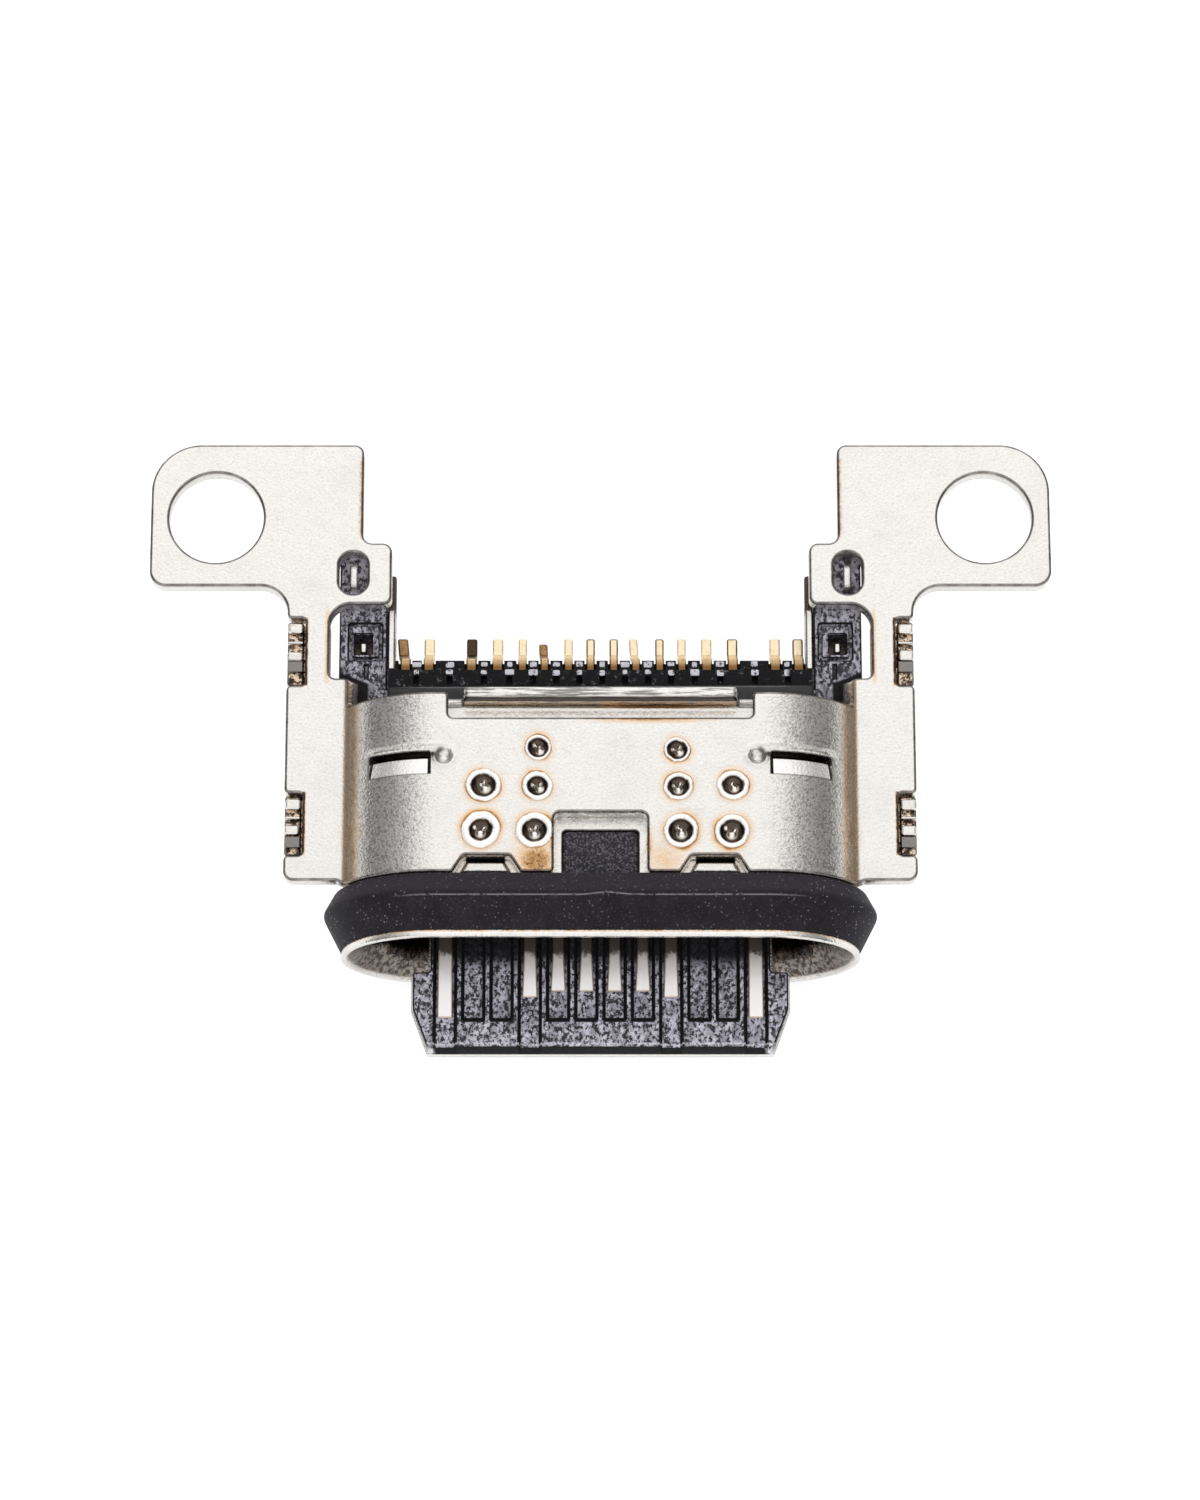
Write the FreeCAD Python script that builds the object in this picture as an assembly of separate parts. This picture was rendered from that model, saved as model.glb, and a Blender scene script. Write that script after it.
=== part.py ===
import FreeCAD, Part
import os
from math import asin, degrees, radians, sqrt, tan

from FreeCAD import Vector

os.makedirs("parts", exist_ok=True)

# USB-C charging socket with a screw-down bracket, in millimetres.
# The origin is the middle of the mouth's rim, on the mid-plane of the tongue.
# +X runs across the socket, -Y points out of the mouth, +Z is the spot-welded face.

# ---- the plug's side: cavity, contacts and tongue ----
contact_pitch = 0.50
cavity_width = 8.34
cavity_height = 2.56
tongue_width = 6.64
tongue_thickness = 0.70
tongue_reach = 1.83  # how far the tip stands in front of the rim
tongue_length = 4.48  # thin part, tip to root
tip_width = 6.06
tip_slant = 0.77
tip_bevel_length = 0.10
tip_bevel_height = 0.20
head_length = 1.43  # tip to the latch shoulders
neck_width = 6.02  # between the two latch recesses
neck_length = 1.70
neck_slope = 0.25
root_length = 0.95  # the thick part behind the tongue
root_thickness = 1.40
root_width = 6.90
root_ramp = 0.18
core_length = 0.40  # how far the tongue moulding runs on inside the housing
core_thickness = 0.90

# ---- inner shell ----
shell_wall = 0.25
shell_rear = 4.15
rim_flare = 0.20  # the rim stands this far out of the tube
rim_edge = 0.09
flare_corner = 0.15
flare_outer_radius = 0.45
flare_inner_radius = 0.55
flange_width = 4.86
flange_height = 0.40  # above the tube
flange_wall = 0.24
flange_bend = 0.07
flange_corner = 0.12
flange_slit_x = 0.80
flange_slit = 0.04
seal_window_width = 1.33
seal_window_front = 0.75
seal_window_rear = 1.87
catch_centre = 2.02  # the small stops in the bracket's front edge
catch_width = 0.96
catch_taper = 0.16
catch_length = 0.24
catch_ramp = 0.07
catch_height = 0.12
catch_slit = 0.12

# ---- seal ----
seal_front = 0.12
seal_front_height = 0.15
seal_lip = 0.07  # thickness of its front edge above the flare
seal_ridge_y = 0.68
seal_ridge_height = 0.52
seal_ridge_radius = 0.12
seal_rear_height = 0.335
seal_gap = 0.01

# ---- upper bracket ----
bracket_wall = 0.35
bracket_gap = 0.02  # between the shell and both brackets
wing_top = 0.95
wing_half = 5.62
bend_radius = 0.12
bracket_front = 1.03
wing_front = 1.12
wing_front_radius = 0.18
bracket_rear = 4.32
rear_cut_half = 2.69
rear_cut_front = 3.85
front_notch_half = 0.82
front_notch_rear = 2.11
catch_notch_centre = 2.0
catch_notch_front_width = 1.20
catch_notch_rear_width = 0.81
catch_notch_depth = 0.30
tab_notch_x = 5.29
tab_notches = ((1.585, 2.73), (4.735, 5.99))  # front and rear end of each
neck_inner = 4.86
neck_foot = 4.53
neck_foot_rear = 4.87
bump_inner = 3.755
bump_front = 6.26
bump_rear = 7.42
neck_radius = 0.38
ear_inner = 4.28
ear_outer = 8.12
ear_front = 6.60
ear_rear = 9.30
ear_armpit_radius = 0.50
ear_front_radius = 0.30
ear_rear_radius = 0.90
ear_inner_radius = 0.17
foot_radius = 0.12  # where the necks and the front notch meet the arch
small_radius = 0.06
screw_x = 6.935
screw_y = 7.90
screw_radius = 0.85
slot_x = 4.45
slot_y = 6.85
slot_width = 0.515
slot_length = 0.79
slot_radius = 0.25
lance_inner = 3.00
lance_outer = 4.10
lance_front = 2.82
lance_length = 0.30
lance_slot_rear = 3.24
lance_angle = 24
lance_clear = 0.05
dimple_x = 2.74
dimple_y = 3.16
dimple_radius = 0.15
dimple_depth = 0.045
weld_depth = 0.06
crater_floor = 0.60  # radius of a weld's or dimple's floor, as a share of its rim
# spot welds on the top: x, y, crater radius
welds = (
    (-2.10, 1.79, 0.20),
    (-1.16, 1.78, 0.21),
    (-2.06, 2.60, 0.21),
    (-1.11, 2.59, 0.175),
    (-1.10, 3.29, 0.175),
    (1.41, 1.77, 0.21),
    (2.31, 1.76, 0.21),
    (1.37, 2.58, 0.18),
    (2.33, 2.60, 0.18),
    (1.35, 3.25, 0.17),
)

# ---- lower bracket ----
lower_wall = 0.25
lower_front = 1.35
sheet_gap = 0.02  # between the two brackets' wings
tab_wall = 0.30
tab_end_gap = 0.03
tab_grooves = (0.27, 0.40, 0.52, 0.76)  # across each tab's top, from its rear end
tab_groove = 0.04
tab_groove_depth = 0.10

# ---- mid plate ----
plate_thickness = 0.15
plate_proud = 0.04  # stands out of the tongue's edge
plate_root_width = 5.60
plate_rear = 4.25
plate_leg_inner = 3.72
plate_leg_outer = 4.05
plate_wing_front = 4.62
plate_wing_outer = 4.60
plate_wing_rear = 7.08
plate_strip_inner = 3.70
plate_strip_front = 5.10
plate_strip_rear = 6.30
plate_strip_top = 0.50
post_width = 0.14
post_length = 0.46
post_top = 0.80
post_round = 0.16
post_hole = 0.10
post_hole_drop = 0.28  # from the post's top to the hole's floor
nub_width = 0.12
nub_length = 0.20
nub_top = 0.42

# ---- ground plates on the thick root ----
ground_wall = 0.12
ground_width = 5.90
ground_setback = 0.10

# ---- housing ----
housing_fit = 0.03
base_rear = 4.35
comb_front = 4.72
comb_step = 5.18
comb_rear = 5.40
comb_top = 0.55
comb_low_top = 0.30
comb_link_half = 3.50
housing_bottom = -0.75
arm_inner = 3.84
arm_outer = 4.70
arm_rear = 7.30
arm_top_gap = 0.03  # under the bracket's bump
arm_nose = 0.42
arm_nose_inset = 0.30
arm_radius = 0.12
pocket_x = 4.27
pocket_y = 5.60
pocket_width = 0.33
pocket_length = 0.44
frame_x = 4.23
frame_y = 5.665
frame_width = 0.595
frame_length = 0.69
frame_groove = 0.05
frame_depth = 0.06
comb_pocket = 0.10
comb_pocket_length = 0.15
comb_pocket_depth = 0.14

# ---- potting ----
potting_half = 3.82
potting_top = 1.24
potting_rear = 4.80
potting_radius = 0.14

# ---- contacts ----
contact_thickness = 0.085
slot_depth = 0.10
slot_clear = 0.055  # each side of a contact
pad_width = 0.27
pad_taper_end = -0.10
slot_front = 1.25  # where the closed slots end, in front of the rim
jog_start = 3.70
jog_end = 4.42
drop_end = 4.88
exit_height = 0.15
tail_knee = 5.43
foot_start = 5.63
foot_height = -0.25
foot_end = 5.97
tail_clear = 0.03
tail_shift = 0.03  # the row of tails is this far off the tongue's middle

# each kind of contact: front end, pad's width behind its taper, tail's width
ground = (1.22, 0.25, 0.19)
power = (0.85, 0.22, 0.19)
signal = (0.74, 0.20, 0.155)

# each contact: pin, pitches from the middle, tail's place in its row, kind,
# then how far the tail leans and how much shorter it is
contacts = (
    ("a1", -5.5, -3.55, ground, -0.07, 0.0),
    ("b12", -5.5, -3.13, ground, 0.0, 0.0),
    ("a4", -2.5, -2.36, power, 0.0, 0.0),
    ("b9", -2.5, -1.89, power, 0.0, 0.0),
    ("b8", -1.5, -1.44, signal, 0.0, 0.0),
    ("a5", -1.5, -1.04, signal, -0.03, 0.10),
    ("b7", -0.5, -0.61, signal, 0.0, 0.0),
    ("a6", -0.5, -0.21, signal, 0.0, 0.0),
    ("a7", 0.5, 0.21, signal, 0.0, 0.0),
    ("b6", 0.5, 0.61, signal, -0.05, 0.0),
    ("a8", 1.5, 1.04, signal, 0.0, 0.0),
    ("b5", 1.5, 1.44, signal, 0.0, 0.0),
    ("b4", 2.5, 1.89, power, 0.0, 0.0),
    ("a9", 2.5, 2.36, power, 0.0, 0.0),
    ("b1", 5.5, 3.13, ground, 0.0, 0.0),
    ("a12", 5.5, 3.55, ground, 0.0, 0.0),
)
empty_slots = (-4.5, -3.5, 3.5, 4.5)  # pin places with no contact, in pitches

# ---- worked out from the above ----
cavity_radius = cavity_height / 2
arc_centre = cavity_width / 2 - cavity_radius
tube_radius = cavity_radius + shell_wall
bracket_inner_radius = tube_radius + bracket_gap
bracket_outer_radius = bracket_inner_radius + bracket_wall
lower_outer_radius = bracket_inner_radius + lower_wall
wing_bottom = wing_top - bracket_wall
lower_top = wing_bottom - sheet_gap
lower_bottom = lower_top - lower_wall
tongue_tip = -tongue_reach
tongue_root = tongue_tip + tongue_length
base_front = tongue_root + root_length
half_tongue = tongue_thickness / 2
slot_floor = half_tongue - slot_depth
arm_top = wing_bottom - arm_top_gap
half_plate = plate_thickness / 2
everywhere = 20.0  # longer than any piece, for cuts that go right through


def box(x_low, x_high, y_low, y_high, z_low, z_high):
    size = (x_high - x_low, y_high - y_low, z_high - z_low)
    return Part.makeBox(*size, Vector(x_low, y_low, z_low))


def place(axis, u, v, along):
    """The point at (u, v) of a profile that is extruded along the axis."""
    if axis == "x":
        return Vector(along, u, v)
    if axis == "y":
        return Vector(u, along, v)
    return Vector(u, v, along)


def outline(axis, corners, along):
    """A closed wire through (u, v) corners; a third number rounds the corner."""
    arrivals, departures, rounds = [], [], []
    for index, corner in enumerate(corners):
        here = Vector(corner[0], corner[1], 0)
        before = Vector(*corners[index - 1][:2], 0)
        after = Vector(*corners[(index + 1) % len(corners)][:2], 0)
        radius = corner[2] if len(corner) > 2 else 0
        back, ahead = (before - here).normalize(), (after - here).normalize()
        half_angle = back.getAngle(ahead) / 2
        reach = radius / tan(half_angle)
        arrivals.append(here + back * reach)
        departures.append(here + ahead * reach)
        bisector = (back + ahead).normalize() if radius else Vector()
        far = sqrt(radius ** 2 + reach ** 2) - radius
        rounds.append(here + bisector * far if radius else None)
    edges = []
    for index, middle in enumerate(rounds):
        start, end = arrivals[index], departures[index]
        if middle is not None:
            points = [place(axis, p.x, p.y, along) for p in (start, middle, end)]
            edges.append(Part.Arc(*points).toShape())
        following = arrivals[(index + 1) % len(corners)]
        if (following - end).Length > 1e-4:
            ends = [place(axis, p.x, p.y, along) for p in (end, following)]
            edges.append(Part.LineSegment(*ends).toShape())
    return Part.Wire(edges)


def prism(axis, corners, low, high):
    face = Part.Face(outline(axis, corners, low))
    return face.extrude(place(axis, 0, 0, high - low))


def both_sides(shape):
    """The shape and its mirror image across the socket's middle plane."""
    return shape.fuse(shape.mirror(Vector(), Vector(1, 0, 0)))


def mirrored_outline(corners):
    """A right half's corners, from front to rear, closed with their mirror image."""
    left = [(-corner[0], *corner[1:]) for corner in reversed(corners)]
    return list(corners) + left


def racetrack(corners):
    """Carry a (y, radius) profile round the racetrack that the mouth has."""
    face = Part.Face(outline("x", corners, arc_centre))
    end = face.revolve(Vector(arc_centre, 0, 0), Vector(0, 1, 0), 180)
    top = face.extrude(Vector(-2 * arc_centre, 0, 0))
    bottom = top.mirror(Vector(), Vector(0, 0, 1))
    other_end = end.mirror(Vector(), Vector(1, 0, 0))
    return top.multiFuse([end, bottom, other_end]).removeSplitter()


def racetrack_block(radius, front, rear):
    """A solid racetrack of the given end radius."""
    middle = box(-arc_centre, arc_centre, front, rear, -radius, radius)
    length = rear - front
    ends = [
        Part.makeCylinder(radius, length, Vector(side * arc_centre, front, 0), Vector(0, 1, 0))
        for side in (-1, 1)
    ]
    return middle.multiFuse(ends).removeSplitter()


def ribbon(path):
    """The outline of a strip along (u, v, half width) points, mitred at its bends."""
    left, right = [], []
    for index, (u, v, half) in enumerate(path):
        here = Vector(u, v, 0)
        steps = []
        if index > 0:
            steps.append((here - Vector(*path[index - 1][:2], 0)).normalize())
        if index < len(path) - 1:
            steps.append((Vector(*path[index + 1][:2], 0) - here).normalize())
        heading = (steps[0] + steps[-1]).normalize()
        stretch = half / heading.dot(steps[0])
        across = Vector(-heading.y, heading.x, 0) * stretch
        left.append(((here + across).x, (here + across).y))
        right.append(((here - across).x, (here - across).y))
    return left + right[::-1]


def tongue_outline(grow):
    """Right half of the tongue seen from above, tip first, grown at its edge."""
    half = tongue_width / 2 + grow
    neck = neck_width / 2 + grow
    shoulder = tongue_tip + head_length + grow
    neck_end = shoulder + neck_length - 2 * grow
    return [
        (tip_width / 2 + grow, tongue_tip - grow / 2),
        (half, tongue_tip + tip_slant),
        (half, shoulder),
        (neck, shoulder),
        (neck, neck_end),
        (half, neck_end + neck_slope),
    ]


def make_contact(column, tail_x, row, kind, lean, shorter):
    """One contact: a strip cut to its plan, then formed to its side view."""
    front, rear_width, tail_width = kind
    pad_x = column * contact_pitch
    tip = foot_end - shorter
    half = tail_width / 2
    plan = ribbon([
        (pad_x, -front, pad_width / 2),
        (pad_x, pad_taper_end, rear_width / 2),
        (pad_x, jog_start, rear_width / 2),
        (tail_x, jog_end, half),
        (tail_x, tail_knee, half),
        (tail_x + lean, tip, half),
    ])
    pad_height = row * (slot_floor + contact_thickness / 2)
    half_strip = contact_thickness / 2
    side = ribbon([
        (-front, pad_height, half_strip),
        (jog_end, pad_height, half_strip),
        (drop_end, exit_height, half_strip),
        (tail_knee, exit_height, half_strip),
        (foot_start, foot_height, half_strip),
        (foot_end, foot_height, half_strip),
    ])
    cut_out = prism("z", plan, -everywhere, everywhere)
    return cut_out.common(prism("x", side, -everywhere, everywhere))


def make_contacts():
    made = {}
    for pin, column, tail_place, kind, lean, shorter in contacts:
        row = 1 if pin.startswith("a") else -1
        side = "upper" if row > 0 else "lower"
        shape = make_contact(column, tail_place + tail_shift, row, kind, lean, shorter)
        made[f"{side}_contact_{pin}"] = shape
    return made


def make_mid_plate():
    """The steel plate in the middle of the tongue, with legs in the housing's arms."""
    root = plate_root_width / 2
    right = tongue_outline(plate_proud) + [
        (tongue_width / 2, tongue_root),
        (root, tongue_root),
        (root, base_front + housing_fit),
        (plate_leg_outer, base_front + housing_fit),
        (plate_leg_outer, plate_wing_front),
        (plate_wing_outer, plate_wing_front),
        (plate_wing_outer, plate_wing_rear),
        (plate_strip_inner, plate_wing_rear),
        (plate_strip_inner, plate_wing_front),
        (plate_leg_inner, plate_wing_front),
        (plate_leg_inner, plate_rear),
    ]
    plate = prism("z", mirrored_outline(right), -half_plate, half_plate)
    strip = box(plate_strip_inner, arm_inner, plate_strip_front, plate_strip_rear, 0, plate_strip_top)
    post = box(slot_x - post_width / 2, slot_x + post_width / 2,
               slot_y - post_length / 2, slot_y + post_length / 2, 0, post_top)
    across = [edge for edge in post.Edges if edge.BoundBox.ZMin > post_top - 0.001
              and edge.BoundBox.XLength > post_width / 2]
    post = post.makeFillet(post_round, across)
    hole_front = slot_y - post_round
    hole_floor = post_top - post_hole_drop
    hole = box(0, everywhere, hole_front, hole_front + post_hole, hole_floor, hole_floor + post_hole)
    nub = box(pocket_x - nub_width / 2, pocket_x + nub_width / 2,
              pocket_y - nub_length / 2, pocket_y + nub_length / 2, 0, nub_top)
    risers = both_sides(strip.fuse(post.cut(hole)).fuse(nub))
    return plate.fuse(risers).removeSplitter()


def make_inner_shell():
    """Drawn tube with a flared rim, a turned-up rear flange and two small catches."""
    rim_radius = tube_radius + rim_flare
    tube = racetrack([
        (0, rim_radius),
        (flare_corner, tube_radius, flare_outer_radius),
        (shell_rear, tube_radius),
        (shell_rear, cavity_radius),
        (flare_corner, cavity_radius, flare_inner_radius),
        (0, rim_radius - rim_edge),
    ])
    flange_rear = shell_rear + flange_wall
    flange_top = tube_radius + flange_height
    half_flange = flange_width / 2
    flange = prism("x", [
        (shell_rear - 2 * flange_bend, cavity_radius),
        (flange_rear, cavity_radius, shell_wall - flange_bend),
        (flange_rear, flange_top),
        (shell_rear, flange_top),
        (shell_rear, tube_radius, flange_bend),
        (shell_rear - 2 * flange_bend, tube_radius),
    ], -half_flange, half_flange)
    front_view = prism("y", [
        (-half_flange, 0),
        (-half_flange, flange_top, flange_corner),
        (half_flange, flange_top, flange_corner),
        (half_flange, 0),
    ], 0, everywhere)
    shell = tube.fuse(flange.common(front_view)).removeSplitter()

    slit = box(flange_slit_x, flange_slit_x + flange_slit, shell_rear, everywhere,
               tube_radius + flange_bend, everywhere)
    half_window = seal_window_width / 2
    window = box(-half_window, half_window, seal_window_front, seal_window_rear, 0, everywhere)
    lance_window = box(lance_inner - lance_clear, lance_outer + lance_clear,
                       lance_front - lance_clear, lance_slot_rear + lance_clear, 0, everywhere)
    catch_rear = bracket_front + catch_length
    wide, narrow = catch_width / 2, catch_width / 2 - catch_taper
    plan = prism("z", [
        (catch_centre - wide, bracket_front),
        (catch_centre + wide, bracket_front),
        (catch_centre + narrow, catch_rear),
        (catch_centre - narrow, catch_rear),
    ], 0, everywhere)
    side_view = prism("x", [
        (bracket_front, tube_radius - shell_wall / 2),
        (catch_rear, tube_radius - shell_wall / 2),
        (catch_rear, tube_radius + catch_height),
        (bracket_front + catch_ramp, tube_radius + catch_height),
        (bracket_front, tube_radius),
    ], 0, everywhere)
    catch_cut = box(catch_centre - narrow, catch_centre + narrow, catch_rear,
                    catch_rear + catch_slit, 0, everywhere)
    shell = shell.cut(both_sides(slit)).cut(window).cut(both_sides(lance_window))
    shell = shell.cut(both_sides(catch_cut)).fuse(both_sides(plan.common(side_view)))
    return shell.removeSplitter()


def make_seal_ring():
    """Moulded silicone ring behind the rim, keyed into the window in the tube."""
    bore = tube_radius + seal_gap
    slope = rim_flare / flare_corner
    foot = tube_radius + rim_flare - slope * seal_front
    rear = bracket_front - seal_gap
    ring = racetrack([
        (seal_front, foot + seal_lip),
        (seal_front, tube_radius + seal_front_height),
        (seal_ridge_y, tube_radius + seal_ridge_height, seal_ridge_radius),
        (rear, tube_radius + seal_rear_height),
        (rear, bore),
        (flare_corner + seal_gap, bore, flare_outer_radius / 2),
    ])
    half_key = seal_window_width / 2 - seal_gap
    key_front, key_rear = seal_window_front + seal_gap, seal_window_rear - seal_gap
    key = box(-half_key, half_key, key_front, key_rear, cavity_radius, tube_radius)
    neck = box(-half_key, half_key, key_front, rear, tube_radius - seal_gap, bore + seal_gap)
    return ring.fuse(key).fuse(neck).removeSplitter()


def bracket_plan():
    """Right half of the upper bracket's blank, from the front notch round to the rear cut."""
    wide, narrow = catch_notch_front_width / 2, catch_notch_rear_width / 2
    catch_rear = bracket_front + catch_notch_depth
    corners = [
        (front_notch_half, front_notch_rear, foot_radius),
        (front_notch_half, bracket_front, small_radius),
        (catch_notch_centre - wide, bracket_front, small_radius),
        (catch_notch_centre - narrow, catch_rear, small_radius),
        (catch_notch_centre + narrow, catch_rear, small_radius),
        (catch_notch_centre + wide, bracket_front, small_radius),
        (neck_foot, bracket_front),
        (neck_foot + bend_radius, wing_front),
        (wing_half, wing_front, wing_front_radius),
    ]
    for notch_front, notch_rear in tab_notches:
        corners += [
            (wing_half, notch_front, small_radius),
            (tab_notch_x, notch_front, small_radius),
            (tab_notch_x, notch_rear, small_radius),
            (wing_half, notch_rear, small_radius),
        ]
    return corners + [
        (wing_half, ear_front, ear_armpit_radius),
        (ear_outer, ear_front, ear_front_radius),
        (ear_outer, ear_rear, ear_rear_radius),
        (ear_inner, ear_rear, ear_inner_radius),
        (ear_inner, bump_rear, ear_inner_radius),
        (bump_inner, bump_rear, ear_inner_radius),
        (bump_inner, bump_front, ear_inner_radius),
        (neck_inner, bump_front, neck_radius),
        (neck_inner, neck_foot_rear, foot_radius),
        (neck_foot, neck_foot_rear, foot_radius),
        (neck_foot, bracket_rear, small_radius),
        (rear_cut_half, bracket_rear, small_radius),
        (rear_cut_half, rear_cut_front, small_radius),
    ]


def make_lances():
    """Two fingers of the shoulder, cut on three sides and bent in."""
    drop = lance_length * tan(radians(lance_angle))
    rear = lance_front + lance_length
    start = degrees(asin((lance_inner + lance_clear - arc_centre) / bracket_inner_radius))
    end = degrees(asin((lance_outer - lance_clear - arc_centre) / bracket_outer_radius))
    profile = outline("x", [
        (lance_front - lance_clear, bracket_outer_radius),
        (lance_front, bracket_outer_radius),
        (rear, bracket_outer_radius - drop),
        (rear, bracket_inner_radius - drop),
        (lance_front, bracket_inner_radius),
        (lance_front - lance_clear, bracket_inner_radius),
    ], arc_centre)
    axis_point, axis = Vector(arc_centre, 0, 0), Vector(0, 1, 0)
    finger = Part.Face(profile)
    finger.rotate(axis_point, axis, start)
    return both_sides(finger.revolve(axis_point, axis, end - start))


def crater(x, y, radius, depth):
    """A cone that leaves a flat-bottomed crater in the flat of the arch."""
    floor = radius * crater_floor
    return Part.makeCone(floor, 2 * radius - floor, 2 * depth, Vector(x, y, bracket_outer_radius - depth))


def make_upper_bracket():
    """One formed blank: arch, wings, necks and screw ears."""
    arch = racetrack_block(bracket_outer_radius, 0, neck_foot_rear)
    bore = racetrack_block(bracket_inner_radius, 0, neck_foot_rear)
    arch = arch.common(box(-everywhere, everywhere, 0, everywhere, wing_bottom, everywhere))
    side_wings = both_sides(box(arc_centre, ear_outer, 0, neck_foot_rear, wing_bottom, wing_top))
    formed = arch.fuse(side_wings).cut(bore).removeSplitter()
    bend_x = arc_centre + sqrt(bracket_outer_radius ** 2 - wing_top ** 2)
    bends = [edge for edge in formed.Edges
             if abs(edge.BoundBox.ZMin - wing_top) < 0.001 and edge.BoundBox.YLength > 1
             and abs(abs(edge.BoundBox.XMin) - bend_x) < 0.001]
    formed = formed.makeFillet(bend_radius, bends)
    flat = both_sides(box(bump_inner, ear_outer, neck_foot_rear, ear_rear, wing_bottom, wing_top))
    blank = prism("z", mirrored_outline(bracket_plan()), wing_bottom, everywhere)
    bracket = formed.fuse(flat).common(blank)

    screw = Part.makeCylinder(screw_radius, everywhere, Vector(screw_x, screw_y, 0))
    half_slot = slot_width / 2
    slot = prism("z", [
        (slot_x - half_slot, slot_y - slot_length / 2, slot_radius),
        (slot_x + half_slot, slot_y - slot_length / 2, slot_radius),
        (slot_x + half_slot, slot_y + slot_length / 2, slot_radius),
        (slot_x - half_slot, slot_y + slot_length / 2, slot_radius),
    ], 0, everywhere)
    lance_cut = box(lance_inner, lance_outer, lance_front, lance_slot_rear, wing_top, everywhere)
    dimple = crater(dimple_x, dimple_y, dimple_radius, dimple_depth)
    bracket = bracket.cut(both_sides(screw.fuse(slot).fuse(lance_cut).fuse(dimple)))
    bracket = bracket.fuse(make_lances())
    for weld_x, weld_y, radius in welds:
        bracket = bracket.cut(crater(weld_x, weld_y, radius, weld_depth))
    return bracket.removeSplitter()


def make_lower_bracket():
    """Trough under the shell, with wings below the upper ones and four upturned tabs."""
    trough = racetrack_block(lower_outer_radius, 0, bracket_rear)
    trough = trough.common(box(-everywhere, everywhere, 0, everywhere, -everywhere, 0))
    wall_inner = arc_centre + bracket_inner_radius
    wall_outer = arc_centre + lower_outer_radius
    section = prism("y", [
        (wall_inner, 0),
        (wall_outer, 0),
        (wall_outer, lower_bottom, bend_radius),
        (wing_half, lower_bottom),
        (wing_half, lower_top),
        (wall_inner, lower_top, bend_radius + lower_wall / 2),
    ], 0, everywhere)
    formed = trough.cut(racetrack_block(bracket_inner_radius, 0, everywhere)).fuse(both_sides(section))
    wing_rear = tab_notches[-1][1]
    blank = prism("z", mirrored_outline([
        (wing_half, lower_front, wing_front_radius),
        (wing_half, wing_rear, small_radius),
        (neck_inner, wing_rear, small_radius),
        (neck_inner, bracket_rear),
    ]), -everywhere, everywhere)
    bracket = formed.common(blank)
    for notch_front, notch_rear in tab_notches:
        front, rear = notch_front + tab_end_gap, notch_rear - tab_end_gap
        tab = box(wing_half - tab_wall, wing_half, front, rear, lower_bottom, wing_top)
        for distance in tab_grooves:
            middle = rear - distance
            tab = tab.cut(box(0, everywhere, middle - tab_groove / 2, middle + tab_groove / 2,
                              wing_top - tab_groove_depth, everywhere))
        bracket = bracket.fuse(both_sides(tab))
    return bracket.removeSplitter()


def contact_slots():
    """The slots in the tongue's two faces: twelve above and twelve below."""
    columns = sorted({contact[1] for contact in contacts} | set(empty_slots))
    open_columns = {contact[1] for contact in contacts if contact[3] != signal}
    half = pad_width / 2 + slot_clear
    slots = []
    for column in columns:
        middle = column * contact_pitch
        front = -everywhere if column in open_columns else -slot_front
        slots.append(box(middle - half, middle + half, front, tongue_root, slot_floor, everywhere))
    upper = slots[0].multiFuse(slots[1:])
    return upper.fuse(upper.mirror(Vector(), Vector(0, 0, 1)))


def make_tongue(metal):
    """Tongue moulding: slotted blade, thick root and the core that the housing grips."""
    plan = tongue_outline(0) + [(tongue_width / 2, tongue_root)]
    blade = prism("z", mirrored_outline(plan), -half_tongue, half_tongue)
    bevel_low = half_tongue - tip_bevel_height
    side_view = prism("x", [
        (tongue_tip, -bevel_low),
        (tongue_tip + tip_bevel_length, -half_tongue),
        (tongue_root, -half_tongue),
        (tongue_root, half_tongue),
        (tongue_tip + tip_bevel_length, half_tongue),
        (tongue_tip, bevel_low),
    ], -everywhere, everywhere)
    blade = blade.common(side_view).cut(contact_slots())
    half_root, half_width = root_thickness / 2, root_width / 2
    root = prism("x", [
        (tongue_root, -half_tongue),
        (tongue_root + root_ramp, -half_root),
        (base_front, -half_root),
        (base_front, half_root),
        (tongue_root + root_ramp, half_root),
        (tongue_root, half_tongue),
    ], -half_width, half_width)
    half_core = core_thickness / 2
    core = box(-half_width, half_width, base_front, base_front + core_length, -half_core, half_core)
    return blade.fuse(root).fuse(core).cut(metal).removeSplitter()


def make_ground_plate(side):
    """A thin steel plate on one face of the root, for the plug's ground springs."""
    half = ground_width / 2
    surface = root_thickness / 2
    front = tongue_root + root_ramp + ground_setback
    plate = box(-half, half, front, base_front, surface, surface + ground_wall)
    lead = prism("x", [
        (front, surface),
        (front + ground_wall, surface + ground_wall),
        (front, surface + ground_wall),
    ], -everywhere, everywhere)
    plate = plate.cut(lead)
    return plate if side > 0 else plate.mirror(Vector(), Vector(0, 0, 1))


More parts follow.
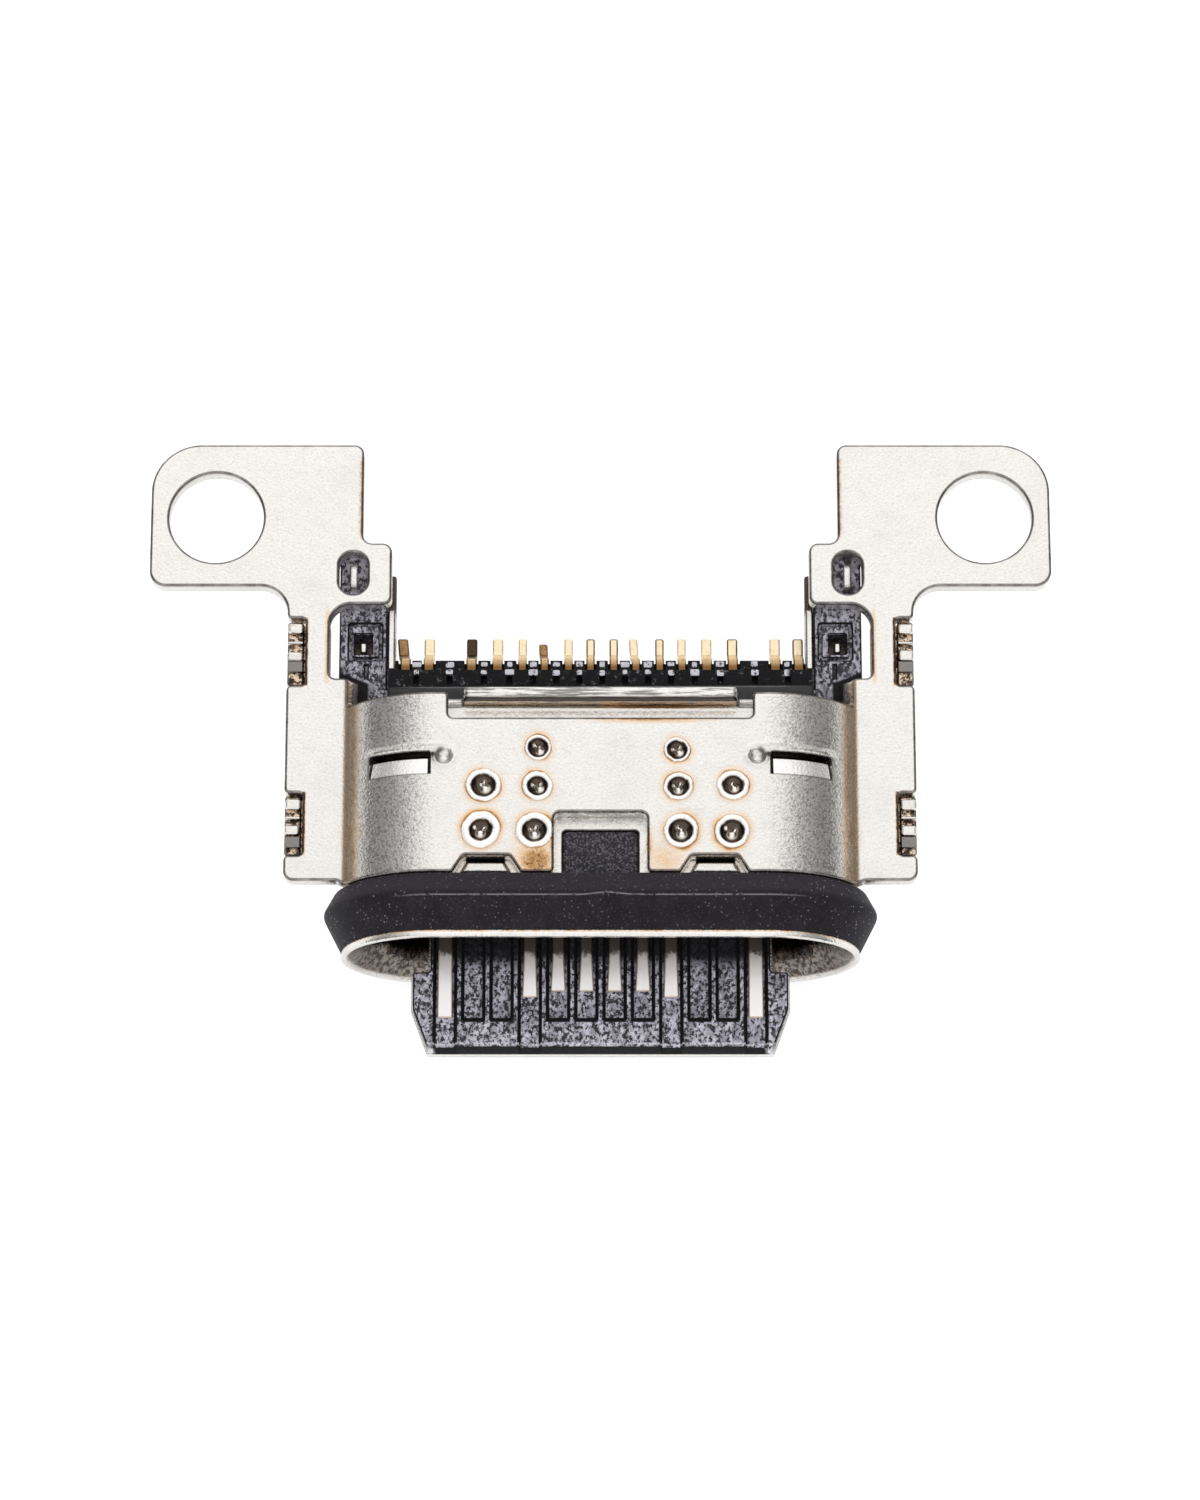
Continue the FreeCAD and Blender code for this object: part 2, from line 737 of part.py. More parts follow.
def make_comb():
    """The stepped rear edge, with a slot for each tail and pockets between them."""
    comb = prism("x", [
        (comb_front, housing_bottom),
        (comb_rear, housing_bottom),
        (comb_rear, comb_low_top),
        (comb_step, comb_low_top),
        (comb_step, comb_top),
        (comb_front, comb_top),
    ], -arm_inner, arm_inner)
    slot_front_end, floor = comb_step - tail_clear, exit_height - contact_thickness / 2
    places = []
    for _, _, tail_place, kind, _, _ in contacts:
        tail_x = tail_place + tail_shift
        half = kind[-1] / 2 + tail_clear
        slot = box(tail_x - half, tail_x + half, slot_front_end, everywhere, floor, everywhere)
        comb = comb.cut(slot)
        places.append(tail_x)
    for left, right in zip(places, places[1:]):
        middle = (left + right) / 2
        pocket_front = (comb_front + comb_step - comb_pocket_length) / 2
        comb = comb.cut(box(middle - comb_pocket / 2, middle + comb_pocket / 2, pocket_front,
                            pocket_front + comb_pocket_length, comb_top - comb_pocket_depth, everywhere))
    return comb


def make_arms():
    """The two arms beside the board, pocketed over the mid plate's upturned ends."""
    plan = [
        (comb_link_half, base_rear),
        (arm_outer - arm_nose_inset, base_rear, small_radius),
        (arm_outer, base_rear + arm_nose, arm_radius),
        (arm_outer, arm_rear, arm_radius),
        (arm_inner, arm_rear, arm_radius),
        (arm_inner, comb_front + small_radius),
        (comb_link_half, comb_front + small_radius),
    ]
    arm = prism("z", plan, housing_bottom, arm_top)
    pocket = box(pocket_x - pocket_width / 2, pocket_x + pocket_width / 2,
                 pocket_y - pocket_length / 2, pocket_y + pocket_length / 2, half_plate, everywhere)
    half_width, half_length = frame_width / 2, frame_length / 2
    frame = box(frame_x - half_width, frame_x + half_width, frame_y - half_length,
                frame_y + half_length, arm_top - frame_depth, everywhere)
    inside = box(frame_x - half_width + frame_groove, frame_x + half_width - frame_groove,
                 frame_y - half_length + frame_groove, frame_y + half_length - frame_groove,
                 0, everywhere)
    return both_sides(arm.cut(frame.cut(inside)).cut(pocket))


def make_housing(metal, tongue):
    """Rear moulding: base that closes the shell, comb for the tails and two arms."""
    base = racetrack_block(cavity_radius - housing_fit, base_front, base_rear)
    link = box(-comb_link_half, comb_link_half, base_rear, comb_front, housing_bottom, comb_top)
    body = base.multiFuse([link, make_comb(), make_arms()])
    return body.cut(tongue).cut(metal).removeSplitter()


def make_potting(side, obstacles):
    """Glossy resin behind the base, against the shell's flange, on one face of the link."""
    mass = prism("x", [
        (base_rear, 0),
        (potting_rear, 0),
        (potting_rear, comb_top),
        (potting_rear - potting_radius, potting_top, potting_radius),
        (base_rear, potting_top),
    ], -potting_half, potting_half)
    if side < 0:
        mass = mass.mirror(Vector(), Vector(0, 0, 1))
    core = box(-everywhere, everywhere, comb_front, everywhere, -comb_top, comb_top)
    arms = both_sides(box(comb_link_half, everywhere, base_rear, everywhere, housing_bottom, arm_top))
    return mass.cut(core).cut(arms).cut(obstacles).removeSplitter()


def write(name, shape):
    solids = shape.Solids
    piece = solids[0] if len(solids) == 1 else shape
    piece.exportStep(f"parts/{name}.step")
    print(f"{name}: {len(solids)} solid, {shape.Volume:.3f} mm3, valid {shape.isValid()}")


contact_shapes = make_contacts()
mid_plate = make_mid_plate()
metal = mid_plate.multiFuse(list(contact_shapes.values()))
inner_shell = make_inner_shell()
tongue = make_tongue(metal)
housing = make_housing(metal, tongue)

write("inner_shell", inner_shell)
write("seal_ring", make_seal_ring())
write("upper_bracket", make_upper_bracket())
write("lower_bracket", make_lower_bracket())
write("tongue", tongue)
write("upper_ground_plate", make_ground_plate(1))
write("lower_ground_plate", make_ground_plate(-1))
write("mid_plate", mid_plate)
write("housing", housing)
obstacles = housing.fuse(inner_shell).fuse(metal)
write("upper_potting", make_potting(1, obstacles))
write("lower_potting", make_potting(-1, obstacles))
for contact_name, contact_shape in contact_shapes.items():
    write(contact_name, contact_shape)
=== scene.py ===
import math

import bmesh
import bpy
import numpy as np
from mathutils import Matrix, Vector
from mathutils.geometry import delaunay_2d_cdt


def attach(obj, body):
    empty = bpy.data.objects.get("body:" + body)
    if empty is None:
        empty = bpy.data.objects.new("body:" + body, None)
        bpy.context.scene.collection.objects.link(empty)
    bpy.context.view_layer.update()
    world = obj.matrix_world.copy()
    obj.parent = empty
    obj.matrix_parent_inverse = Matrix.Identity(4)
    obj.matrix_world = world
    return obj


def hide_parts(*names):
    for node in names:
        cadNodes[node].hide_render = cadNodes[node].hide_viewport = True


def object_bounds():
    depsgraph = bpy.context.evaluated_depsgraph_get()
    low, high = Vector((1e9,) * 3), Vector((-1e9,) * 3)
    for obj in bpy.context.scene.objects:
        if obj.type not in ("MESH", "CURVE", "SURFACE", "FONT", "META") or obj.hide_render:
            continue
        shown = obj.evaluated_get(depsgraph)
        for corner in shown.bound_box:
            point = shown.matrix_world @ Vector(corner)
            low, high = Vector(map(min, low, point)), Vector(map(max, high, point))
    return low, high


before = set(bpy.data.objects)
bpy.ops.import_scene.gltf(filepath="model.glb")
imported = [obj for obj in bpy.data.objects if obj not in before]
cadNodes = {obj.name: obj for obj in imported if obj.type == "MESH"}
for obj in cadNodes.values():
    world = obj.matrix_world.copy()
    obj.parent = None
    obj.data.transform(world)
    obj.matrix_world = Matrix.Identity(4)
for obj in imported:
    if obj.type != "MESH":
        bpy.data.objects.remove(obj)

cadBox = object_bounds()
mm = 0.001


class Wire:
    # a shader socket that takes part in plain arithmetic
    def __init__(self, tree, socket):
        self.tree, self.socket = tree, socket

    def maths(self, operation, *values):
        return self.tree.add("ShaderNodeMath", {"operation": operation}, values)

    def __add__(self, other): return self.maths("ADD", self, other)
    def __radd__(self, other): return self.maths("ADD", other, self)
    def __sub__(self, other): return self.maths("SUBTRACT", self, other)
    def __rsub__(self, other): return self.maths("SUBTRACT", other, self)
    def __mul__(self, other): return self.maths("MULTIPLY", self, other)
    def __rmul__(self, other): return self.maths("MULTIPLY", other, self)
    def __truediv__(self, other): return self.maths("DIVIDE", self, other)
    def __rtruediv__(self, other): return self.maths("DIVIDE", other, self)
    def __pow__(self, other): return self.maths("POWER", self, other)
    def __abs__(self): return self.maths("ABSOLUTE", self)
    def clamp(self): return self.tree.add("ShaderNodeClamp", {}, [self])

    def largest(self, *others):
        result = self
        for other in others:
            result = self.maths("MAXIMUM", result, other)
        return result

    def between(self, low, high):
        # 0 at low, 1 at high, smooth from one to the other
        smooth = {"interpolation_type": "SMOOTHSTEP"}
        return self.tree.add("ShaderNodeMapRange", smooth, [self, low, high, 0.0, 1.0])

    def until(self, low, high):
        return 1 - self.between(low, high)

    def band(self, low, full, fade, gone):
        # 1 from full to fade, 0 outside low and gone
        return self.between(low, full) * self.until(fade, gone)

    def near(self, middle, width):
        # 1 at the middle, falling smoothly to 0 a width away
        return abs(self - middle).until(0.0, width)


class Tree:
    # a node tree and the one call that adds to it: settings first, then values and links
    def __init__(self, nodeTree):
        self.nodeTree = nodeTree

    def add(self, kind, settings, values, output=0):
        node = self.nodeTree.nodes.new(kind)
        for key, value in settings.items():
            setattr(node, key, value)
        pairs = values.items() if isinstance(values, dict) else enumerate(values)
        for key, value in pairs:
            if isinstance(value, Wire):
                self.nodeTree.links.new(value.socket, node.inputs[key])
            elif value is not None:
                node.inputs[key].default_value = value
        return Wire(self, node.outputs[output])


class Finish(Tree):
    # one material; lengths are in millimetres on the object's own coordinates
    def __init__(self, name):
        self.material = bpy.data.materials.new(name)
        self.material.use_nodes = True
        super().__init__(self.material.node_tree)
        self.shader = self.nodeTree.nodes["Principled BSDF"]
        metres = self.add("ShaderNodeTexCoord", {}, [], "Object")
        self.place = self.add("ShaderNodeVectorMath", {"operation": "SCALE"}, {0: metres, "Scale": 1 / mm})
        self.x, self.y, self.z = [self.add("ShaderNodeSeparateXYZ", {}, [self.place], k) for k in "XYZ"]

    def stretched(self, stretch):
        return self.add("ShaderNodeVectorMath", {"operation": "MULTIPLY"}, [self.place, stretch])

    def noise(self, size, detail=2.0, roughness=0.5, stretch=(1, 1, 1), seed=0.0):
        values = {"Vector": self.stretched(stretch), "W": seed, "Scale": 1 / size, "Detail": detail,
                  "Roughness": roughness}
        return self.add("ShaderNodeTexNoise", {"noise_dimensions": "4D"}, values, "Fac")

    def wear(self, size, seed, **more):
        # the rough, many-sized noise that breaks up stains and scuffs
        return self.noise(size, 3.0, 0.7, seed=seed, **more)

    def cells(self, size):
        return self.add("ShaderNodeTexVoronoi", {}, {"Vector": self.place, "Scale": 1 / size}, "Distance")

    def attribute(self, name):
        return self.add("ShaderNodeAttribute", {"attribute_name": name}, [], "Fac")

    def mix(self, share, first, second):
        first, second = [c if isinstance(c, Wire) else (*c, 1.0) for c in (first, second)]
        return self.add("ShaderNodeMix", {"data_type": "RGBA"}, {0: share, 6: first, 7: second}, 2)

    def bump(self, height, depth, below=None):
        # depth is the height's full travel
        values = {"Strength": 1.0, "Distance": depth * mm, "Height": height, "Normal": below}
        return self.add("ShaderNodeBump", {}, values, "Normal")

    def finish(self, **inputs):
        for key, value in inputs.items():
            socket = self.shader.inputs[key.replace("_", " ")]
            if isinstance(value, Wire):
                self.nodeTree.links.new(value.socket, socket)
            else:
                socket.default_value = (*value, 1.0) if isinstance(value, tuple) else value
        return self.material


nickelSpec = {
    "pale": (0.845, 0.825, 0.785),
    "deep": (0.66, 0.63, 0.59),
    "straw": (0.80, 0.46, 0.17),
    "brown": (0.30, 0.14, 0.06),
    # soot, and painted shade
    "soot": (0.045, 0.032, 0.026),
    "grain": 0.050,
    "grainDepth": 0.0085,
    "waveDepth": 0.008,
    "roughness": 0.25,
    # painted shade for the rounded edges
    "edge": (0.10, 0.085, 0.08),
    "edgeShadeShare": 0.80,
}


def nickelFinish(name, grain=1.0, tint=None, dull=0.0, outlineFrom=-9.0):
    # satin nickel plate: fine matte grain over slow waves; tint gives the heat colours, the soot and painted
    # shade
    f, spec = Finish(name), nickelSpec
    grains = f.noise(spec["grain"] * grain, 3.0, 0.6)
    waves = f.noise(0.9, 2.0, 0.5, seed=3.0)
    blotch = f.noise(0.22, 3.0, 0.6, seed=7.0)
    colour = f.mix(waves.between(0.45, 0.8) * 0.25, spec["pale"], spec["deep"])
    spots = blotch.between(0.5, 0.8) * 0.25 + grains.between(0.5, 0.7) * 0.40
    colour = f.mix(spots.clamp(), colour, spec["deep"])
    rough = spec["roughness"] + dull + (grains - 0.5) * 0.22 + (blotch - 0.5) * 0.12
    if tint:
        heat, scorch = tint(f)
        patchy = heat * (0.45 + f.noise(0.11, 3.0, 0.65, seed=11.0) * 1.1)
        colour = f.mix(patchy.clamp(), colour, spec["straw"])
        colour = f.mix(patchy.between(0.55, 1.15) * 0.8, colour, spec["brown"])
        # soot, and painted shade where the tint asks for it
        colour = f.mix(scorch.clamp(), colour, spec["soot"])
        rough = rough - scorch * 0.10
    # painted shade on the rounded edges, from outlineFrom on
    outline = f.attribute("rolled").between(0.25, 0.9) * (0.45 + blotch * 1.1) * spec["edgeShadeShare"]
    colour = f.mix(outline.clamp() * f.y.between(outlineFrom, outlineFrom + 0.1), colour, spec["edge"])
    # bare metal round the welds, and painted highlights on the craters' specks and the fingers
    colour = f.mix(f.attribute("paleAndHighlight"), colour, (0.98, 0.97, 0.95))
    normal = f.bump(grains, spec["grainDepth"], f.bump(waves, spec["waveDepth"]))
    return f.finish(Base_Color=colour, Metallic=1.0, Roughness=rough.clamp(), Normal=normal)


siliconeSpec = {
    "dark": (0.014, 0.0125, 0.0155),
    "light": (0.026, 0.0235, 0.029),
    # painted light on the ridge's upper slope
    "upper": (0.040, 0.037, 0.044),
    "dust": (0.42, 0.41, 0.44),
    "flash": (0.26, 0.25, 0.26),
    "flashY": 0.585,
}


def siliconeFinish():
    # matte dark rubber with dust specks and the pale line its mould left round the ridge; the ridge's upper
    # slope gets painted light
    f, spec = Finish("seal silicone"), siliconeSpec
    mottle = f.noise(0.5, 4.0, 0.6)
    fine = f.noise(0.035, 2.0, 0.6, seed=2.0)
    dust = f.cells(0.085).until(0.07, 0.22) * f.noise(0.3, seed=5.0).between(0.40, 0.52)
    dust = dust * (0.55 + abs(f.x).between(2.8, 4.6) * 0.7)
    key = f.y.between(0.98, 1.04) * fine.between(0.46, 0.62)
    colour = f.mix(mottle.between(0.3, 0.75), spec["dark"], spec["light"])
    # painted light: the ridge's upper slope lighter, as light falls on it
    colour = f.mix(f.y.between(0.60, 0.72) * 0.8, colour, spec["upper"])
    colour = f.mix((dust * 0.6 + key * 0.30 + fine.between(0.55, 0.75) * 0.12).clamp(), colour, spec["dust"])
    rise = f.x.near(0.12, 0.5) * 0.035
    flash = (f.y - rise).near(spec["flashY"], 0.022) * f.wear(0.09, 9.0).between(0.34, 0.50)
    flash = flash * abs(f.x).until(2.9, 3.8) * f.z.between(0.5, 1.0)
    colour = f.mix(flash * (1 - f.x.near(0.0, 0.68) * f.y.between(0.7, 0.8)), colour, spec["flash"])
    normal = f.bump(fine, 0.004, f.bump(mottle, 0.010, f.bump(flash, 0.015)))
    rough = 0.55 + (fine - 0.5) * 0.3
    return f.finish(Base_Color=colour, Roughness=rough, Specular_IOR_Level=0.10, Normal=normal)


polymerSpec = {
    "dark": (0.035, 0.033, 0.041),
    # light and glint: painted reflection on the flow marks
    "light": (0.76, 0.74, 0.86),
    "glint": (0.92, 0.91, 0.98),
    # black: the comb's own tone, and painted shade
    "black": (0.002, 0.002, 0.003),
    "flowDepth": 0.030,
}


def polymerFinish(name, gloss=0.34, worm=1.0, strength=1.0, blackened=None, highlight=None):
    # glass-filled polymer: near black, with worm-like flow marks whose pale colour and glints are painted
    # reflection; painted shade blackens its rounded edges, and blackened adds more black
    f, spec = Finish(name), polymerSpec
    flow = f.noise(0.14 * worm, 3.0, 0.6, stretch=(1.0, 0.7, 1.0))
    worms = f.wear(0.060 * worm, 8.0, stretch=(1.0, 0.8, 1.0))
    lines = worms.near(0.5, 0.055)
    fine = f.noise(0.03, 2.0, 0.6, seed=4.0)
    # painted shade on the rounded edges
    black = f.attribute("rolled").between(0.15, 0.6)
    if blackened:
        black = black.largest(blackened(f))
    share = strength * (0.50 + flow.between(0.40, 0.60) * 0.50)
    # painted reflection on the flow marks
    colour = f.mix((worms.between(0.44, 0.58) * share).clamp(), spec["dark"], spec["light"])
    # painted glints along the flow marks
    colour = f.mix((lines * fine.between(0.45, 0.6) * share * 0.75).clamp(), colour, spec["glint"])
    colour = f.mix(black.clamp(), colour, spec["black"])
    if highlight:
        colour = f.mix(highlight(f) * fine.between(0.40, 0.52), colour, spec["glint"])
    # painted highlights on the comb's beads, and the bare plate's pale corners at the tongue's tip
    colour = f.mix(f.attribute("glint") * worms.between(0.36, 0.46), colour, spec["glint"])
    normal = f.bump(fine, 0.003, f.bump(worms, spec["flowDepth"]))
    rough = (gloss + black * 0.3).clamp()
    return f.finish(Base_Color=colour, Roughness=rough, Specular_IOR_Level=0.25, Normal=normal)


resinSpec = {"dark": (0.008, 0.008, 0.009), "light": (0.022, 0.021, 0.022), "dentDepth": 0.03}


def resinFinish():
    # glossy sealing resin with slow dents
    f, spec = Finish("sealing resin"), resinSpec
    dents = f.noise(0.35, 3.0, 0.5)
    colour = f.mix(dents.between(0.3, 0.7), spec["dark"], spec["light"])
    normal = f.bump(dents, spec["dentDepth"])
    return f.finish(Base_Color=colour, Roughness=0.22 + dents * 0.25, Normal=normal)


platingSpec = {
    "gold": (0.95, 0.80, 0.55),
    "goldDeep": (0.52, 0.29, 0.09),
    # painted shade on the tails' edges and in the comb's shadow
    "goldEdge": (0.17, 0.075, 0.022),
    "nickel": (1.0, 0.99, 0.97),
    "shade": (0.085, 0.068, 0.055),
    "goldFrom": 4.3,  # distance behind the rim where the gold begins
}


def platingFinish(name, tarnish=0.0, brown=(0.07, 0.045, 0.03)):
    # pale nickel on the tongue, gold towards the tails; painted shade darkens the steep part behind the comb,
    # the tails where they leave the comb, their rounded edges and the pads under the rim
    f, spec = Finish(name), platingSpec
    grains = f.noise(0.04, 3.0, 0.6, stretch=(1.0, 0.35, 1.0))
    stain = f.noise(0.10, 3.0, 0.6, seed=6.0)
    # painted shade on the steep part behind the comb
    steep = f.y.until(5.44, 5.56)
    gold = f.mix((stain.between(0.45, 0.8) * 0.4 + steep * 0.6).clamp(), spec["gold"], spec["goldDeep"])
    # painted shadow of the comb on the tails
    gold = f.mix(f.y.until(5.30, 5.46) * 0.9, gold, spec["goldEdge"])
    ragged = f.y + (stain - 0.5) * 0.30 + (grains - 0.5) * 0.15
    front = f.mix(f.attribute("rolled").between(0.3, 0.9) * 0.55, spec["nickel"], spec["goldDeep"])
    front = f.mix(ragged.between(-0.14, 0.0) * 0.94, front, spec["shade"])
    # painted shade on the tails' rounded edges
    outline = f.attribute("rolled").between(0.1, 0.6) * (0.6 + stain * 0.7)
    gold = f.mix(outline.clamp(), gold, spec["goldEdge"])
    colour = f.mix(f.y.between(spec["goldFrom"] - 0.5, spec["goldFrom"]), front, gold)
    if tarnish:
        soiled = f.y.between(5.50, 5.64) * (tarnish * (0.55 + f.wear(0.07, 12.0) * 0.9))
        colour = f.mix(soiled.clamp(), colour, brown)
    normal = f.bump(grains, 0.003)
    metal = 0.62 + f.y.between(2.0, 3.0) * 0.38
    return f.finish(Base_Color=colour, Metallic=metal, Roughness=0.22 + grains * 0.2, Normal=normal)


mouthHalf = 2.89  # half of the straight part of the mouth's oval


def combBlack(f):
    # the comb between the arms is blacker, with a few pale scuffs
    comb = abs(f.x).until(3.80, 3.86) * f.y.between(4.3, 4.4)
    # painted shade on the arms' front outer corners
    gap = abs(f.x).between(4.14, 4.19) * (f.y - (abs(f.x) - 4.19) * 0.41).until(4.86, 4.92)
    return (comb * (1 - f.wear(0.10, 21.0).between(0.56, 0.66) * 0.4)).largest(gap)


# a painted highlight along the edge of the tip's bevel
def tipHighlight(f):
    return f.y.near(-1.695, 0.035) * 0.7


def slotShade(f):
    # painted shade on the walls and ends of the contact slots and on the bevelled tip, and painted shadow under
    # the mouth's rim
    acrossX, pitch = abs(f.x), 0.5
    step = f.x / pitch + 0.5
    away = abs(step - step.maths("ROUND", step)) * pitch  # distance from the nearest column
    openSlot = acrossX.near(2.75, 0.26).largest(acrossX.near(1.25, 0.26)).between(0.0, 0.02)
    wall = away.band(0.150, 0.162, 0.212, 0.226)  # the slots' side walls
    reach = f.y.between(-1.285, -1.270).largest(openSlot)
    # the closed slots' front ends
    end = abs(f.y + 1.258).until(0.042, 0.058) * away.until(0.200, 0.215) * (1 - openSlot)
    slots = (wall * reach).largest(end) * acrossX.until(2.95, 2.97) * f.y.until(2.5, 2.6)
    return slots.largest(f.y.until(-1.750, -1.730), f.y.between(-0.42, -0.06) * 0.97)


# the bracket's stained places: across and its reach, back from the rim and its reach, strength
bracketStains = (
    (4.42, 0.30, 1.95, 0.55, 0.7),  # the arch's foot
    (0.86, 0.12, 1.50, 0.50, 0.8),  # the front notch's sides
    (2.00, 0.75, 1.22, 0.22, 0.6),  # the catches' notches
)


def bracketTint(f):
    # heat round the welds is in the mesh; these are the stained edges and corners, and painted shade at the
    # fingers' bends and the front notch's end
    acrossX = abs(f.x)
    wear = f.wear(0.16, 14.0)
    # the ears' inner edges
    torn = acrossX.near(4.26, 0.13) * f.y.band(7.45, 7.6, 8.95, 9.1) * f.z.between(0.82, 0.90)
    fillet = acrossX.near(4.50, 0.13) * (0.35 + wear * 0.5) * f.y.until(4.8, 4.9)  # the wings' bend
    cut = f.y.near(3.83, 0.13) * f.x.near(0.9, 1.6) * 1.1  # along the rear cut
    stains = [acrossX.near(x, wide) * f.y.near(y, long) * strength
              for x, wide, y, long, strength in bracketStains]
    brown = acrossX.near(4.37, 0.16) * f.y.until(4.4, 4.5) * (0.25 + wear * 0.7)  # the foot's dark line
    # in front of the inner welds, stronger on the left
    welded = acrossX.near(1.13, 0.62) * f.y.near(1.22, 0.58) * (0.75 - f.x.between(-0.5, 0.5) * 0.35) * 1.4
    neck = acrossX.near(4.90, 0.07) * f.y.band(4.7, 4.9, 6.0, 6.3) * 0.6  # the necks' inner edges
    inTab = f.y.band(1.55, 1.60, 2.73, 2.78).largest(f.y.band(4.70, 4.75, 5.98, 6.03))
    tabEdge = acrossX.near(5.27, 0.06) * inTab
    heat = f.attribute("weldHeat").largest(torn * 1.1, fillet, cut, neck, tabEdge * (0.4 + wear),
                                           welded.clamp(), brown, *stains)

    shoulder = acrossX.band(2.7, 3.4, 4.40, 4.50) * f.y.until(4.7, 4.8)
    speckle = f.noise(0.045, 3.0, 0.65, seed=23.0).between(0.48, 0.60) * shoulder  # specks on the shoulders
    burr = f.y.near(3.34, 0.07) * acrossX.near(3.30, 0.50)
    burr = burr * f.wear(0.05, 25.0).between(0.50, 0.60)
    # painted shade in the crease where the fingers bend
    hinge = f.y.near(2.812, 0.022) * acrossX.band(3.00, 3.03, 4.06, 4.10)  # where the fingers bend
    # painted shade on the front notch's cut end
    frontCut = f.y.near(2.09, 0.05) * acrossX.until(0.74, 0.78) * f.noise(0.09, seed=18.0).between(0.38, 0.5)
    ragged = welded.between(0.5, 0.9) * f.wear(0.05, 24.0).between(0.50, 0.62) * 0.75
    burnt = tabEdge.between(0.3, 0.7) * wear.between(0.45, 0.55) * 0.9
    return heat, f.attribute("scorch").largest(
        torn * wear.between(0.42, 0.55) * 0.9, frontCut, burnt, brown * (0.30 + wear * 0.25), ragged,
        speckle * 0.42, hinge * 0.85, burr * 0.7)


def shellTint(f):
    # a thin stained line behind the rim, a brown rear flange, and painted shade inside the mouth
    wear = f.wear(0.22, 15.0)
    fine = f.wear(0.07, 17.0, stretch=(1.0, 0.5, 1.0))
    rolling = f.noise(0.05, 3.0, 0.6, stretch=(0.08, 1.0, 1.0), seed=19.0)
    beside = (abs(f.x) - mouthHalf).largest(0.0)  # how far it is past the oval's straight part
    radius = (beside * beside + f.z * f.z) ** 0.5 - 0.20 * f.y.until(0.02, 0.40)
    inside = radius.until(1.43, 1.48) * f.y.between(-0.07, -0.02)
    rim = f.y.near(0.012, 0.040) * (1 - inside) * wear.between(0.30, 0.6)
    face = f.y.near(4.14, 0.07) * f.z.band(1.55, 1.62, 1.88, 1.93)
    heat = (rim * 0.8).largest(inside * wear * 0.35, face * rolling.between(0.4, 0.6) * 0.9)
    deep = f.y.between(0.10, 0.45) * f.z.between(-0.6, 0.6)  # further in, between top and bottom
    # painted shade inside the mouth, deeper further in, over its brown speckle
    mouth = inside * (0.70 + fine.between(0.42, 0.58) * 0.26 + deep * 0.5)
    flangeTop = (f.y + (rolling - 0.5) * 0.05).near(4.172, 0.080) * 1.6 * f.z.between(1.84, 1.90)
    # painted shade on what shows through the slits under the fingers
    underSlit = abs(f.x).between(2.80, 2.90) * f.y.band(2.6, 2.7, 3.5, 3.6) * f.z.between(0.3, 0.5)
    flange = f.y.between(4.14, 4.18) * rolling.until(0.42, 0.56) * 0.70  # the flange's worn back
    lip = f.y.near(-0.09, 0.05) * fine.between(0.60, 0.68) * 0.6  # specks on the lip
    return heat, mouth.largest(face * rolling.until(0.42, 0.55), flangeTop, underSlit, flange, lip)


def plateTint(f):
    # clean in front; painted shade down inside the arms' pockets
    pocket = f.z.until(0.16, 0.32) * f.y.between(4.3, 4.6)
    return pocket * 0.3, pocket * 0.93


def tabTint(f):
    # scorched between the lobes and round the notches, clean on the lobes' tops
    wear = f.wear(0.10, 16.0)
    onTab = f.z.between(0.31, 0.36) * abs(f.x).band(5.24, 5.30, 5.575, 5.60)
    below = f.z.until(0.84, 0.89) * onTab  # under the lobes' tops
    heat = (below * 0.5 + wear.between(0.55, 0.8) * onTab * 0.5).clamp()
    return heat, (below * wear.between(0.42, 0.55) + f.attribute("blackBlock")).clamp()


bracketFinish = nickelFinish("bracket nickel", tint=bracketTint)
shellFinish = nickelFinish("shell nickel", grain=1.2, tint=shellTint, outlineFrom=0.3)
plateFinish = nickelFinish("plate nickel", grain=0.7, tint=plateTint, outlineFrom=3.0)
tabFinish = nickelFinish("tab nickel", grain=0.7, tint=tabTint)
tongueFinish = polymerFinish("tongue polymer", blackened=slotShade, highlight=tipHighlight)
housingFinish = polymerFinish("housing polymer", gloss=0.28, worm=1.1, strength=0.80, blackened=combBlack)
sealFinish = siliconeFinish()
resinMaterial = resinFinish()
goldFinish = platingFinish("plated contact")
stainedFinish = platingFinish("stained contact", tarnish=0.85, brown=(0.26, 0.115, 0.035))
darkFinish = platingFinish("tarnished contact", tarnish=1.3)
print("materials made")


